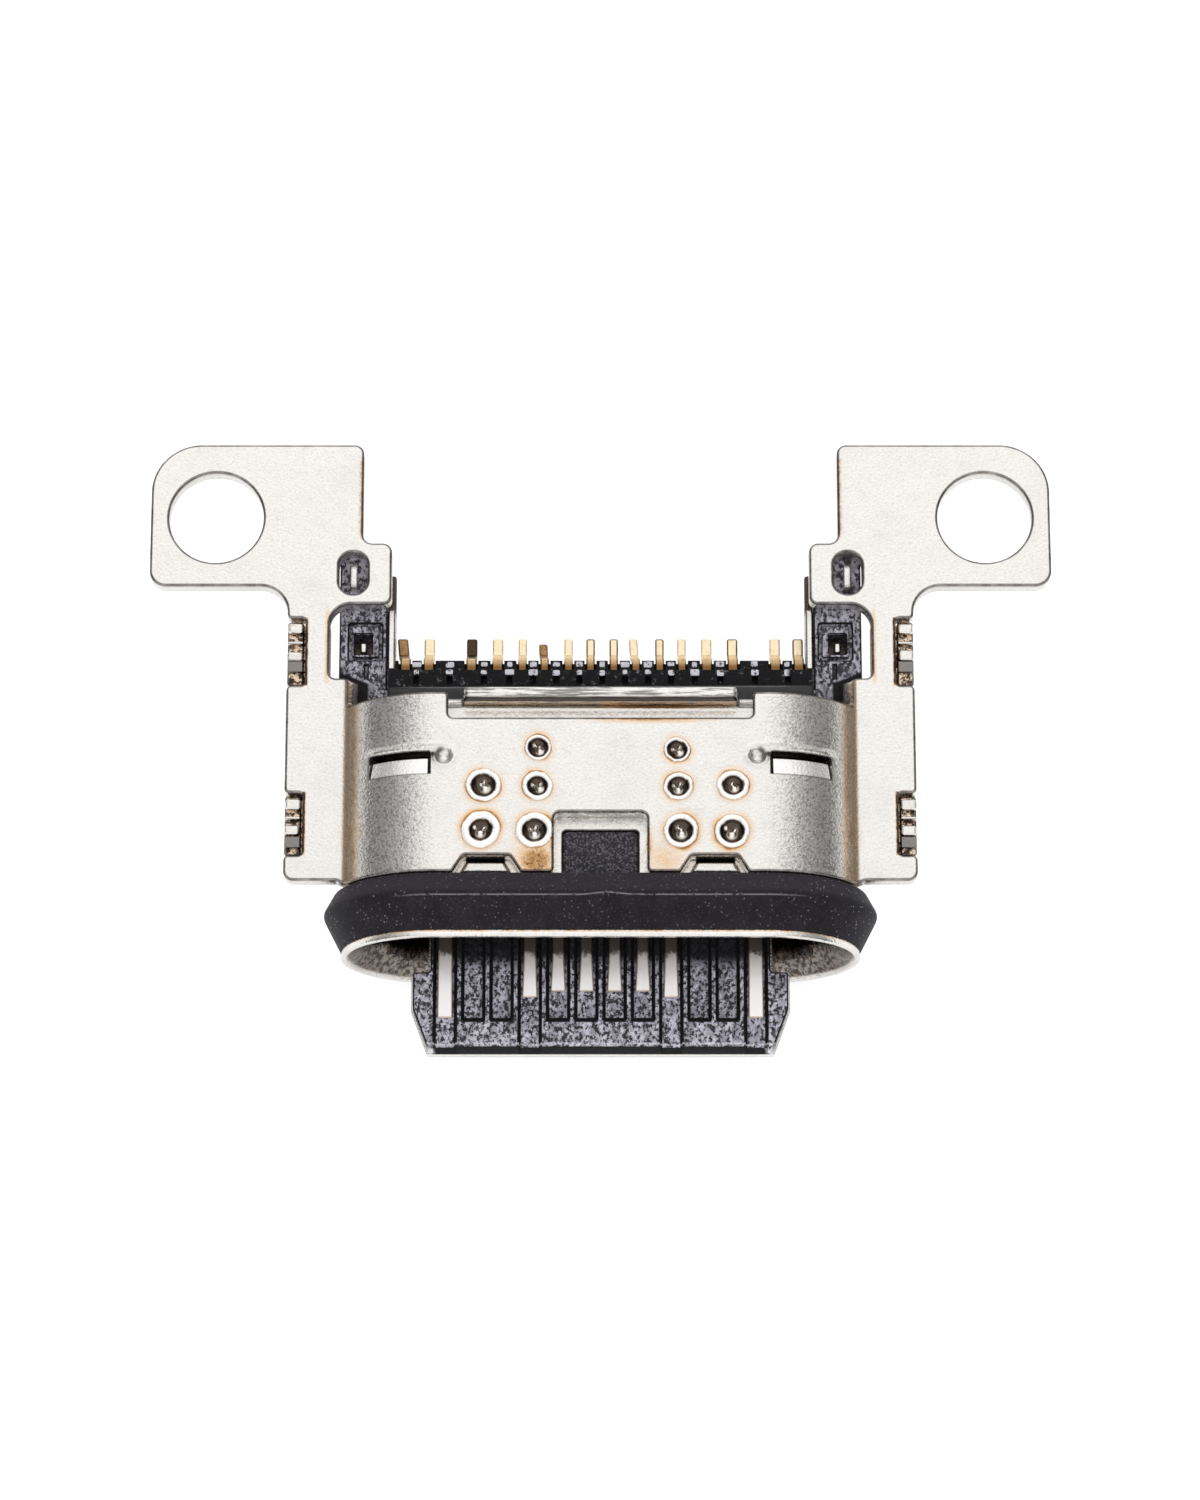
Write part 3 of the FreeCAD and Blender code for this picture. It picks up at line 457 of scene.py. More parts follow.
def roundedPoints(corners, step=0.02, run=0.10, closed=True):
    # corners are (u, v) or (u, v, radius); arcs are sampled every step, straights every run
    count, points = len(corners), []
    for i, corner in enumerate(corners):
        here = np.array(corner[:2], float)
        radius = corner[2] if len(corner) > 2 else 0
        if radius <= 0 or (not closed and i in (0, count - 1)):
            points.append(here)
            continue
        back = np.array(corners[i - 1][:2], float) - here
        ahead = np.array(corners[(i + 1) % count][:2], float) - here
        back, ahead = back / np.linalg.norm(back), ahead / np.linalg.norm(ahead)
        half = math.acos(np.clip(back @ ahead, -1, 1)) / 2
        reach = radius / math.tan(half)
        centre = here + (back + ahead) / np.linalg.norm(back + ahead) * radius / math.sin(half)
        first, last = here + back * reach - centre, here + ahead * reach - centre
        start = math.atan2(first[1], first[0])
        turn = (math.atan2(last[1], last[0]) - start + math.pi) % (2 * math.pi) - math.pi
        pieces = max(3, round(abs(turn) * radius / step))
        for k in range(pieces + 1):
            angle = start + turn * k / pieces
            points.append(centre + radius * np.array([math.cos(angle), math.sin(angle)]))
    filled, last = [], len(points) if closed else len(points) - 1
    for i in range(last):
        point, following = points[i], points[(i + 1) % len(points)]
        gap = np.linalg.norm(following - point)
        if gap > 1e-5:
            pieces = max(1, math.ceil(gap / run))
            filled += [point + (following - point) * k / pieces for k in range(pieces)]
    return np.array(filled if closed else filled + [points[-1]])


def bell(value, width):
    return np.exp(-(value / width) ** 2)


def facing(loop, anticlockwise):
    following = np.roll(loop, -1, axis=0)
    area = (loop[:, 0] * following[:, 1] - following[:, 0] * loop[:, 1]).sum()
    return loop if (area > 0) == anticlockwise else loop[::-1]


def insetLoop(loop, amount):
    # the material is on the left of the loop, and the new loop lies that far into it
    before, after = loop - np.roll(loop, 1, axis=0), np.roll(loop, -1, axis=0) - loop
    before /= np.linalg.norm(before, axis=1, keepdims=True)
    after /= np.linalg.norm(after, axis=1, keepdims=True)
    normal = np.stack([-(before + after)[:, 1], (before + after)[:, 0]], 1)
    normal /= np.linalg.norm(normal, axis=1, keepdims=True)
    lean = np.stack([-before[:, 1], before[:, 0]], 1)
    stretch = np.clip((normal * lean).sum(1), 0.5, 1)
    return loop + normal * (amount / stretch)[:, None]


def insideLoops(points, loops):
    inside = np.zeros(len(points), bool)
    for loop in loops:
        for a, b in zip(loop, np.roll(loop, -1, axis=0)):
            if a[1] != b[1]:
                crosses = (a[1] > points[:, 1]) != (b[1] > points[:, 1])
                at = a[0] + (points[:, 1] - a[1]) * (b[0] - a[0]) / (b[1] - a[1])
                inside ^= crosses & (points[:, 0] < at)
    return inside


def farFrom(points, others, gap):
    keep = np.ones(len(points), bool)
    for start in range(0, len(points), 1000):
        part = points[start:start + 1000]
        apart = ((part[:, None, :] - others[None, :, :]) ** 2).sum(2)
        keep[start:start + 1000] = apart.min(1) > gap ** 2
    return keep


def gridPoints(lowU, highU, lowV, highV, stepU, stepV=None):
    us, vs = np.arange(lowU, highU, stepU), np.arange(lowV, highV, stepV or stepU)
    grid = np.stack(np.meshgrid(us, vs), 2).astype(float)
    grid[1::2, :, 0] += stepU / 2
    return grid.reshape(-1, 2)


flatFrom = 1.25  # where a sheet's flat faces begin, in edge radii


def edgeRings(wall, edge):
    # (inset, height) from the top face round the edge to the under face
    turns = [k / 3 * math.pi / 2 for k in range(4)]
    rings = [(edge * flatFrom, 0.0)]
    rings += [(edge * (1 - math.sin(a)), -edge * (1 - math.cos(a))) for a in turns]
    rings += [(edge * (1 - math.cos(a)), -wall + edge * (1 - math.sin(a))) for a in turns]
    return rings + [(edge * flatFrom, -wall)]


edgeShade = (0, 0.6, 1, 1, 0.5, 0, 0, 0, 0, 0)  # how far each ring of an edge takes the outline's colour


def formedSheet(loops, wall, edge, place, inner=None, relief=None, gap=0.03):
    # a blank with rounded edges: the first loop is its outline, the rest are holes;
    # relief changes heights over the blank, and place then bends it into shape
    loops = [facing(loop, i == 0) for i, loop in enumerate(loops)]
    edges = edge if isinstance(edge, list) else [edge] * len(loops)
    flat, faces, tops, unders, start = [], [], [], [], 0
    for loop, loopEdge in zip(loops, edges):
        size, rings = len(loop), edgeRings(wall, loopEdge)
        for number, (inset, height) in enumerate(rings):
            rolled = edgeShade[number]
            flat.append(np.column_stack([insetLoop(loop, inset), np.tile([height, rolled], (size, 1))]))
        for ring in range(len(rings) - 1):
            here, under = start + ring * size, start + (ring + 1) * size
            for i in range(size):
                following = (i + 1) % size
                faces.append((under + i, under + following, here + following, here + i))
        tops += range(start, start + size)
        unders += range(start + (len(rings) - 1) * size, start + len(rings) * size)
        start += len(rings) * size
    border = [insetLoop(loop, flatFrom * loopEdge) for loop, loopEdge in zip(loops, edges)]
    known, links, first = np.concatenate(border), [], 0
    for loop in border:
        links += [(first + i, first + (i + 1) % len(loop)) for i in range(len(loop))]
        first += len(loop)
    if inner is not None:
        inner = inner[insideLoops(inner, border)]
        known = np.concatenate([known, inner[farFrom(inner, known, gap)]])
    corners, _, triangles, sources, _, _ = delaunay_2d_cdt([Vector(p) for p in known], links, [], 1, 1e-7)
    middles = np.array([[corners[i] for i in triangle] for triangle in triangles]).mean(1)
    triangles = [t for t, inside in zip(triangles, insideLoops(middles, border)) if inside]
    upperOf, lowerOf, added = [], [], []
    for corner, source in zip(corners, sources):
        edgeSource = min(source, default=len(tops))
        if edgeSource < len(tops):
            upperOf.append(tops[edgeSource])
            lowerOf.append(unders[edgeSource])
        else:
            upperOf.append(start + len(added))
            lowerOf.append(start + len(added) + 1)
            added += [(*corner, 0.0, 0.0), (*corner, -wall, 0.0)]
    flat = np.concatenate(flat + ([np.array(added)] if added else []))
    for triangle in triangles:
        faces.append(tuple(upperOf[i] for i in triangle))
        faces.append(tuple(lowerOf[i] for i in reversed(triangle)))
    if relief:
        flat[:, 2] = relief(flat[:, :2], flat[:, 2])
    return flat, np.array(place(flat[:, 0], flat[:, 1], flat[:, 2])).T, faces


def slab(corners, holes, low, high, edge, run=0.4, place=None):
    # a flat block with rounded edges, standing between two heights
    loops = [roundedPoints(c, 0.02, run) for c in [corners, *holes]]
    put = place or (lambda u, v, height: (u, v, height))
    return formedSheet(loops, high - low, edge, lambda u, v, height: put(u, v, height + high))


class FormPath:
    # a bent sheet's section, as an open line with rounded corners; side says which way is outward
    def __init__(self, corners, side=1, step=0.01, run=0.05):
        points = roundedPoints(corners, step, run, False)
        steps = np.diff(points, axis=0)
        angles = np.unwrap(np.arctan2(steps[:, 1], steps[:, 0]))
        self.points, self.side = points, side
        self.lengths = np.concatenate([[0], np.cumsum(np.linalg.norm(steps, axis=1))])
        self.angles = np.concatenate([angles[:1], (angles[1:] + angles[:-1]) / 2, angles[-1:]])
        self.length = self.lengths[-1]

    def at(self, along, height):
        u, v = [np.interp(along, self.lengths, self.points[:, k]) for k in (0, 1)]
        angle = np.interp(along, self.lengths, self.angles)
        return u - np.sin(angle) * self.side * height, v + np.cos(angle) * self.side * height

    def lengthAt(self, value, axis=0):
        return float(np.interp(value, self.points[:, axis], self.lengths))


def linked(name, data):
    item = bpy.data.objects.new(name, data)
    bpy.context.scene.collection.objects.link(item)
    return item


def makePiece(name, parts, finish):
    # parts are (flat, points, faces) in millimetres; the piece sits at the origin
    points, faces, rolled = [], [], []
    for flat, places, polygons in parts:
        faces += [tuple(len(points) + i for i in polygon) for polygon in polygons]
        points += [tuple(p) for p in places * mm]
        rolled += list(flat[:, 3]) if flat is not None else [0.0] * len(places)
    mesh = bpy.data.meshes.new(name)
    mesh.from_pydata(points, [], faces)
    piece = linkPiece(name, mesh, finish)
    setAttribute(piece, "rolled", rolled)
    return piece


def linkPiece(name, mesh, finish):
    work = bmesh.new()
    work.from_mesh(mesh)
    bmesh.ops.recalc_face_normals(work, faces=work.faces)
    for face in work.faces:
        face.smooth = True
    work.to_mesh(mesh)
    work.free()
    mesh.materials.clear()
    mesh.materials.append(finish)
    return linked(name, mesh)


def mirrored(parts):
    # the same parts on the other side of the middle plane
    turned = []
    for flat, points, faces in parts:
        turned.append((flat, points * np.array([-1, 1, 1]), [tuple(reversed(face)) for face in faces]))
    return list(parts) + turned


def rectangle(low, high, front, rear, corner=0.0):
    return [(low, front, corner), (high, front, corner), (high, rear, corner), (low, rear, corner)]


def patch(x, y, wide, long, corner=0.0):
    # a rectangle round its middle
    return rectangle(x - wide / 2, x + wide / 2, y - long / 2, y + long / 2, corner)


def mirroredLoop(corners):
    return list(corners) + [(-c[0], *c[1:]) for c in reversed(corners)]


def pointsOf(piece):
    return np.array([vertex.co for vertex in piece.data.vertices]) / mm


def setAttribute(piece, name, values):
    attribute = piece.data.attributes.new(name, "FLOAT", "POINT")
    attribute.data.foreach_set("value", np.asarray(values, np.float32))


def standsFor(piece, nodeNames):
    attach(piece, "root")
    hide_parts(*nodeNames)
    print(piece.name, len(piece.data.polygons), "faces")


def settle(piece):
    # the evaluated shape becomes the piece's own mesh
    graph = bpy.context.evaluated_depsgraph_get()
    mesh = bpy.data.meshes.new_from_object(piece.evaluated_get(graph))
    piece.modifiers.clear()
    piece.data = mesh
    return piece


upper = {
    "wall": 0.35,
    "archRadius": 1.90,
    "archHalf": mouthHalf,
    "fillet": 0.12,
    "wingTop": 0.95,
    "front": 1.03,
    "wingFront": 1.12,
    "wingHalf": 5.62,
    "rear": 4.32,
    "rearCut": (2.69, 3.85),  # half width, front
    "frontNotch": (0.82, 2.11),  # half width, rear
    "catchNotch": (2.0, 1.20, 0.81, 0.30),  # middle, front width, rear width, depth
    "tabNotches": ((1.585, 2.73), (4.735, 5.99)),  # front, rear of each
    "tabNotchX": 5.29,
    "neckInner": 4.86,
    "neckFoot": (4.53, 4.87),  # x, y
    "bump": (3.755, 6.26, 7.42),  # inner side, front, rear
    "ear": (4.28, 8.12, 6.60, 9.30),  # inner side, outer side, front, rear
    "screw": (6.935, 7.90, 0.85),  # x, y, radius
    "slot": (4.45, 6.85, 0.515, 0.79),  # x, y, width, length
    "finger": (3.00, 4.10, 2.82, 3.12, 3.22),  # ends, bend line, tip, slit's rear
    "fingerSlope": 0.24,
    "fingerEdge": 0.018,
    "fingerCut": 0.035,  # how wide its side cuts are
    "dimple": (2.76, 3.14, 0.15, 0.10),  # x, y, radius, depth
    "edge": 0.045,
}
# spot welds: x, y, crater radius, ring radius
welds = (
    (-2.10, 1.79, 0.200, 0.345), (-1.16, 1.78, 0.210, 0.330), (-2.06, 2.60, 0.210, 0.310),
    (-1.11, 2.59, 0.175, 0.270), (-1.10, 3.29, 0.175, 0.235), (1.41, 1.77, 0.210, 0.310),
    (2.31, 1.76, 0.210, 0.310), (1.37, 2.58, 0.180, 0.260), (2.33, 2.60, 0.180, 0.280),
    (1.35, 3.25, 0.170, 0.230),
)

archTurn = math.acos((upper["wingTop"] + upper["fillet"]) / (upper["archRadius"] + upper["fillet"]))
archReach = upper["archRadius"] * math.tan(archTurn / 2)
filletReach = (archReach + upper["fillet"] * math.tan(archTurn / 2)) * math.cos(archTurn)
bracketForm = FormPath([
    (0, upper["archRadius"]),
    (upper["archHalf"] + archReach, upper["archRadius"], upper["archRadius"]),
    (upper["archHalf"] + archReach + filletReach, upper["wingTop"], upper["fillet"]),
    (12, upper["wingTop"]),
])
flatShift = bracketForm.lengthAt(6.0) - 6.0  # developed width minus plan width on the wings


def onBracket(along, y, height):
    # behind the arch's neck the sheet is flat
    u, v = bracketForm.at(np.abs(along), height)
    flat = y > upper["neckFoot"][1] + 0.02
    u, v = np.where(flat, np.abs(along) - flatShift, u), np.where(flat, upper["wingTop"] + height, v)
    return np.sign(along) * u, y, v


weldSpec = {
    "depth": 0.10,
    "glintDepth": 0.045,  # the specks stand out of the crater's floor
    "ripple": 0.014,
    "ringRise": 0.012,
    "halo": 0.075,  # how far the heat's colour reaches past the ring
    "line": 0.018,
}
# the raised specks in a weld's crater, which get painted highlights: across, up, size, in crater radii
weldGlints = ((-0.15, -0.28, 0.34), (0.34, 0.20, 0.18), (-0.40, 0.26, 0.15))


def weldMarks(points):
    # the surface's rise, its heat colour, its soot and its bare metal round every weld, with painted highlights
    # on the crater's specks
    spec = weldSpec
    rise, heat, scorch, pale = np.zeros((4, len(points)))
    for number, (x, y, crater, ring) in enumerate(welds):
        away = points - np.array([x, y])
        angle = np.arctan2(away[:, 1], away[:, 0])
        wobble = 1 + 0.025 * np.sin(2 * angle + number) + 0.012 * np.sin(7 * angle + 2.3 * number)
        far = np.linalg.norm(away, axis=1) / wobble
        share = far / crater
        glints = np.zeros(len(points))
        for across, up, size in weldGlints:
            turned = across * math.cos(number) - up * 0.4, up + across * 0.3 * math.sin(number * 2)
            apart = ((away - np.array(turned) * crater) ** 2).sum(1) / (size * crater) ** 2
            glints = np.maximum(glints, np.exp(-apart ** 2))
        bowl = -spec["depth"] * np.clip(1 - share ** 2, 0, 1) ** 0.7
        bowl += (-spec["glintDepth"] - bowl) * glints
        waves = np.cos(share * 8 + 1.2 * np.sin(angle + number))
        ripple = spec["ripple"] * waves * np.clip(1.05 - share, 0, 1)
        bead = spec["ringRise"] * bell(far - (crater + ring) / 2, (ring - crater) / 2.2)
        rise += bowl + ripple * (1 - glints) + bead
        uneven = 1 + 0.35 * np.sin(angle + number * 1.7) + 0.2 * np.sin(3 * angle + number)
        strong = 0.65 if y < 2 else 0.42
        halo = uneven * strong * bell(np.clip(far - ring, 0, None), spec["halo"]) * (far > ring)
        line = uneven * 0.95 * bell(far - ring, spec["line"])
        heat = np.maximum.reduce([heat, halo, line, 0.5 * (share < 1)])
        wall = 0.6 * bell(share - 0.97, 0.10) + 0.93 * (share < 0.97) - 1.2 * glints
        scorch = np.maximum.reduce([scorch, wall, 0.30 * bell(far - ring * 0.985, 0.012)])
        pale = np.maximum.reduce([pale, glints, (far > crater * 1.08) & (far < ring * 0.95)])
    return rise, heat, scorch, pale


def bracketRelief(points, height):
    # weld craters and the dimples on the top face; the two fingers bend down with both faces
    spec = upper
    along, y = np.abs(points[:, 0]), points[:, 1]
    low, high, bend, tip, rear = spec["finger"]
    low, high = bracketForm.lengthAt(low), bracketForm.lengthAt(high)
    onFinger = (along > low) & (along < high) & (y > bend) & (y < tip + 0.02)
    drop = np.where(onFinger, (y - bend) * spec["fingerSlope"], 0)
    x, dimpleY, radius, depth = spec["dimple"]
    far = np.hypot(along - x, y - dimpleY) / radius
    dimple = depth * np.clip(1 - far ** 2, 0, 1) ** 0.6 - 0.02 * bell(far - 1.15, 0.2)
    lip = 0.045 * bell(y - rear - 0.06, 0.055)
    lip *= np.clip((along - low + 0.3) * 4, 0, 1) * np.clip((high + 0.1 - along) * 4, 0, 1) * (y > tip)
    return height - drop + (height > -0.1) * (weldMarks(points)[0] - dimple + lip)


def bracketLoop():
    # right half from the front notch round to the rear cut, in developed width
    spec, at, small = upper, bracketForm.lengthAt, 0.09
    middle, wide, narrow, depth = spec["catchNotch"]
    notchX, notchRear = spec["frontNotch"]
    front, wing = spec["front"], at(spec["wingHalf"])
    bumpIn, bumpFront, bumpRear = spec["bump"]
    earIn, earOut, earFront, earRear = spec["ear"]
    footX, footRear = at(spec["neckFoot"][0]), spec["neckFoot"][1]
    cutX, cutFront = spec["rearCut"]
    corners = [
        (notchX, notchRear, 0.12),
        (notchX, front, small),
        (middle - wide / 2, front, small),
        (middle - narrow / 2, front + depth, 0.08),
        (middle + narrow / 2, front + depth, 0.08),
        (middle + wide / 2, front, small),
        (at(4.50), front, 0.12),
        (at(4.68), spec["wingFront"], 0.12),
        (wing, spec["wingFront"], 0.18),
    ]
    for low, high in spec["tabNotches"]:
        inside = at(spec["tabNotchX"])
        corners += [(wing, low, small), (inside, low, 0.08), (inside, high, 0.08), (wing, high, small)]
    return corners + [
        (wing, earFront, 0.50),
        (earOut + flatShift, earFront, 0.30),
        (earOut + flatShift, earRear, 0.90),
        (earIn + flatShift, earRear, 0.17),
        (earIn + flatShift, bumpRear, 0.17),
        (bumpIn + flatShift, bumpRear, 0.17),
        (bumpIn + flatShift, bumpFront, 0.15),
        (spec["neckInner"] + flatShift, bumpFront, 0.38),
        (spec["neckInner"] + flatShift, footRear, 0.12),
        (footX, footRear, 0.08),
        (footX, spec["rear"], small),
        (cutX, spec["rear"], small),
        (cutX, cutFront, small),
    ]


def makeUpperBracket():
    spec, at = upper, bracketForm.lengthAt
    loops = [roundedPoints(mirroredLoop(bracketLoop()), 0.015, 0.035)]
    x, y, radius = spec["screw"]
    turns = np.linspace(0, 2 * math.pi, 120, endpoint=False)
    circle = np.column_stack([x + flatShift + radius * np.cos(turns), y + radius * np.sin(turns)])
    x, y, wide, long = spec["slot"]
    obround = roundedPoints(patch(x + flatShift, y, wide, long, wide / 2 * 0.96), 0.02, 0.05)
    low, high, bend, tip, rear = spec["finger"]
    low, high, cut = at(low), at(high), spec["fingerCut"]
    slit = roundedPoints([
        (low, bend), (low, rear, 0.03), (high, rear, 0.03), (high, bend), (high - cut, bend),
        (high - cut, tip, 0.03), (low + cut, tip, 0.03), (low + cut, bend)], 0.01, 0.04)
    for hole in (circle, obround, slit):
        loops += [hole, hole * np.array([-1, 1])]

    # inner points: fine on the arch, finer along the bends, the fingers and round every weld
    edge, bendX, fingerX = at(spec["ear"][1]), at(4.56), (low + high) / 2
    fineX, fineRear = at(5.3), 4.9
    fine = gridPoints(-fineX, fineX, 1.0, fineRear, 0.055)
    coarse = gridPoints(-edge, edge, 1.0, 9.3, 0.14)
    coarse = coarse[(np.abs(coarse[:, 0]) > fineX) | (coarse[:, 1] > fineRear)]
    lance = gridPoints(fingerX - 0.98, fingerX + 0.70, 2.78, 3.44, 0.026)
    near = np.abs(np.abs(fine[:, 0]) - bendX) < 0.12
    aside = (np.abs(np.abs(fine[:, 0]) - fingerX + 0.14) < 0.84) & (np.abs(fine[:, 1] - 3.11) < 0.33)
    inner = [fine[~near & ~aside], coarse]
    inner += [gridPoints(x - 0.1, x + 0.1, 1.0, fineRear, 0.02, 0.05) for x in (-bendX, bendX)]
    inner = np.concatenate(inner + [lance * np.array([side, 1]) for side in (-1, 1)])
    turns = np.linspace(0, 2 * math.pi, 44, endpoint=False)
    rings = []
    for x, y, _, ring in welds:
        inner = inner[np.linalg.norm(inner - np.array([x, y]), axis=1) > ring + 0.10]
        for radius in np.arange(0.018, ring + 0.09, 0.018):
            rings.append(np.column_stack([x + radius * np.cos(turns), y + radius * np.sin(turns)]))
    inner = np.concatenate([inner] + rings)
    edges = [spec["edge"]] * 5 + [spec["fingerEdge"]] * 2
    part = formedSheet(loops, spec["wall"], edges, onBracket, inner, bracketRelief, gap=0.012)
    piece = makePiece("upper_bracket_shown", [part], bracketFinish)

    flat = part[0]
    _, heat, scorch, pale = weldMarks(flat[:, :2])
    along, y, depth = np.abs(flat[:, 0]), flat[:, 1], flat[:, 2]
    # painted shade inside the slits, on the dimple's far side and in the corner beside each finger's end
    inSlit = (along > low - 0.02) & (along < high + 0.02) & (y > tip - 0.01) & (y < rear + 0.03)
    inSlit &= depth < -0.02
    x, dimpleY, radius, _ = spec["dimple"]
    far, angle = np.hypot(along - x, y - dimpleY) / radius, np.arctan2(y - dimpleY, along - x)
    shade = bell(far - 0.85, 0.25) * np.clip(np.cos(angle - 0.3) * 1.4, 0, 1)
    corner = np.exp(-(np.maximum(np.abs(along - 2.95) / 0.045, np.abs(y - 3.165) / 0.05)) ** 6)
    scorch = np.maximum.reduce([scorch * (depth > -0.2), inSlit, shade * 0.92, corner * 0.92])
    # a painted highlight on the fingers' faces
    finger = (along > low + 0.05) & (along < high - 0.05) & (y > bend + 0.01) & (y < tip - 0.02)
    setAttribute(piece, "weldHeat", heat)
    setAttribute(piece, "paleAndHighlight", np.maximum(pale * 0.9, finger))
    setAttribute(piece, "scorch", scorch)
    return piece


standsFor(makeUpperBracket(), ["upper_bracket"])

shell = {
    "radius": 1.53,
    "half": mouthHalf,
    "wall": 0.25,
    "rear": 4.15,
    "rimRise": 0.20,
    "rim": -0.09,
    "funnel": ((-0.09, 0.02, 0.16, 0.30, 0.50), (0.10, 0.145, 0.185, 0.22, 0.25)),  # stations, wall
    "flare": (0.005, 0.40),  # where the flat lip ends, and where its taper ends
    "flange": (2.43, 0.40),  # half width, height
    "window": (0.665, 0.75, 1.87),  # half width, front, rear
    "catch": (2.02, 0.48, 0.32, 1.03, 1.27, 0.10, 0.12),  # middle, half widths, from, to, height, slit
    "edge": 0.030,
}


def makeShell():
    # one strip rolled into the tube, its seam underneath, with the flange at the back of the top
    spec, r, half = shell, shell["radius"], shell["half"]
    ring = FormPath([(0.004, -r), (half + r, -r, r), (half + r, 0.0001), (half + r, r, r), (0, r)], -1, 0.02)
    (lip, taper), rise = spec["flare"], spec["rimRise"]
    meridian = FormPath([(spec["rim"], rise), (lip, rise - 0.01, 0.05), (taper, 0, 0.20),
                         (spec["rear"], 0, 0.07), (spec["rear"], 2)], 1, 0.008, 0.03)
    around, endY = ring.length, meridian.lengthAt(spec["rear"] - 0.08)

    def put(along, y, height):
        # along runs from -around to around with 0 on top
        stations, walls = spec["funnel"]
        thin = np.interp(y + spec["rim"], stations, walls) / spec["wall"]
        back, rise = meridian.at(y, height * thin)
        u, v = ring.at(around - np.abs(along), rise)
        return np.sign(along) * u, back, v

    flangeX, flangeTop = spec["flange"]
    tubeEnd = endY + 0.08
    flangeEnd = meridian.length - (2 - flangeTop)
    outline = [(around, 0), (around, tubeEnd), (flangeX, tubeEnd, 0.05), (flangeX, flangeEnd, 0.12)]
    loops = [roundedPoints(mirroredLoop(outline), 0.02, 0.06)]
    x, front, rear = spec["window"]
    window = rectangle(-x, x, meridian.lengthAt(front), meridian.lengthAt(rear), 0.06)
    loops.append(roundedPoints(window, 0.02, 0.06))
    middle, wide, narrow, start, end, rise, slit = spec["catch"]
    start, end = meridian.lengthAt(start), meridian.lengthAt(end)
    hole = rectangle(middle - narrow, middle + narrow, end, end + slit, 0.03)
    for side in (-1, 1):
        loops.append(roundedPoints([(side * u, v, corner) for u, v, corner in hole], 0.01, 0.05))

    def relief(points, height):
        away = np.abs(np.abs(points[:, 0]) - middle)
        edge = np.interp(points[:, 1], [start, end], [wide, narrow + 0.02])
        ramp = np.clip((points[:, 1] - start) / 0.08, 0, 1) * (points[:, 1] < end + 0.03)
        return height + rise * ramp * np.clip((edge - away) / 0.05, 0, 1)

    inner = [gridPoints(-around, around, 0.02, 0.62, 0.09, 0.035),
             gridPoints(-around, around, 0.62, 4.0, 0.11),
             gridPoints(-flangeX, flangeX, 4.0, flangeEnd, 0.05, 0.02)]
    for x in (-middle, middle):
        inner.append(gridPoints(x - 0.6, x + 0.6, start - 0.05, end + 0.2, 0.025))
    part = formedSheet(loops, spec["wall"], spec["edge"], put, np.concatenate(inner), relief, gap=0.022)
    return makePiece("inner_shell_shown", [part], shellFinish)


standsFor(makeShell(), ["inner_shell"])

seal = {
    "base": 1.28,
    "half": mouthHalf,
    # place behind the rim, radius, corner
    "profile": ((0.02, 1.70, 0.0), (0.04, 1.735, 0.02), (0.60, 2.02, 0.05), (0.68, 2.05, 0.12),
                (1.02, 1.865, 0.03), (1.02, 1.545, 0.0), (0.46, 1.56, 0.0)),
    "key": (0.655, 0.76, 1.86, 1.29, 1.52),  # half width, front, rear, height from, to
}


def geometryTree(name, sockets, build):
    # a tree with named inputs; what build makes of them leaves it as one mesh in one finish
    group = bpy.data.node_groups.new(name, "GeometryNodeTree")
    sockets = (*sockets, ("Finish", "Material"))
    for label, kind in sockets:
        group.interface.new_socket(label, in_out="INPUT", socket_type="NodeSocket" + kind)
    group.interface.new_socket("Geometry", in_out="OUTPUT", socket_type="NodeSocketGeometry")
    t = Tree(group)
    entry, leave = group.nodes.new("NodeGroupInput"), group.nodes.new("NodeGroupOutput")
    *inputs, finish = [Wire(t, entry.outputs[label]) for label, _ in sockets]
    real = t.add("GeometryNodeRealizeInstances", {}, [build(t, *inputs)])
    done = t.add("GeometryNodeSetMaterial", {}, {"Geometry": real, "Material": finish})
    group.links.new(done.socket, leave.inputs[0])
    return group


def carriedRound(t, profile, half, radius, stations):
    # the profile's edges carried round the racetrack that the mouth has
    circle = t.add("GeometryNodeCurvePrimitiveCircle", {"mode": "RADIUS"},
                   {"Resolution": stations, "Radius": radius})
    across = t.add("ShaderNodeSeparateXYZ", {}, [t.add("GeometryNodeInputPosition", {}, [])], "X")
    offset = t.add("ShaderNodeCombineXYZ", {}, [across.maths("SIGN", across) * half])
    path = t.add("GeometryNodeSetPosition", {}, {"Geometry": circle, "Offset": offset})
    section = t.add("GeometryNodeMeshToCurve", {}, [profile])
    body = t.add("GeometryNodeCurveToMesh", {}, {"Curve": path, "Profile Curve": section})
    return t.add("GeometryNodeTransform", {}, {"Geometry": body, "Rotation": (math.pi / 2, 0, 0)})


def grown(name, mesh, group, finish, **inputs):
    # a mesh put through a geometry tree and kept as a plain mesh
    host = linked(name, mesh)
    modifier = host.modifiers.new("grow", "NODES")
    modifier.node_group = group
    inputs["Finish"] = finish
    for item in group.interface.items_tree:
        if item.in_out == "INPUT" and item.name in inputs:
            modifier[item.identifier] = inputs[item.name]
    settle(host)
    return host


def asPart(piece):
    # a piece's mesh back as points and faces, so that it can be joined with others
    count = len(piece.data.vertices)
    points = np.empty(count * 3, np.float32)
    piece.data.vertices.foreach_get("co", points)
    faces = [tuple(face.vertices) for face in piece.data.polygons]
    bpy.data.objects.remove(piece)
    return None, points.reshape(-1, 3).astype(float) / mm, faces


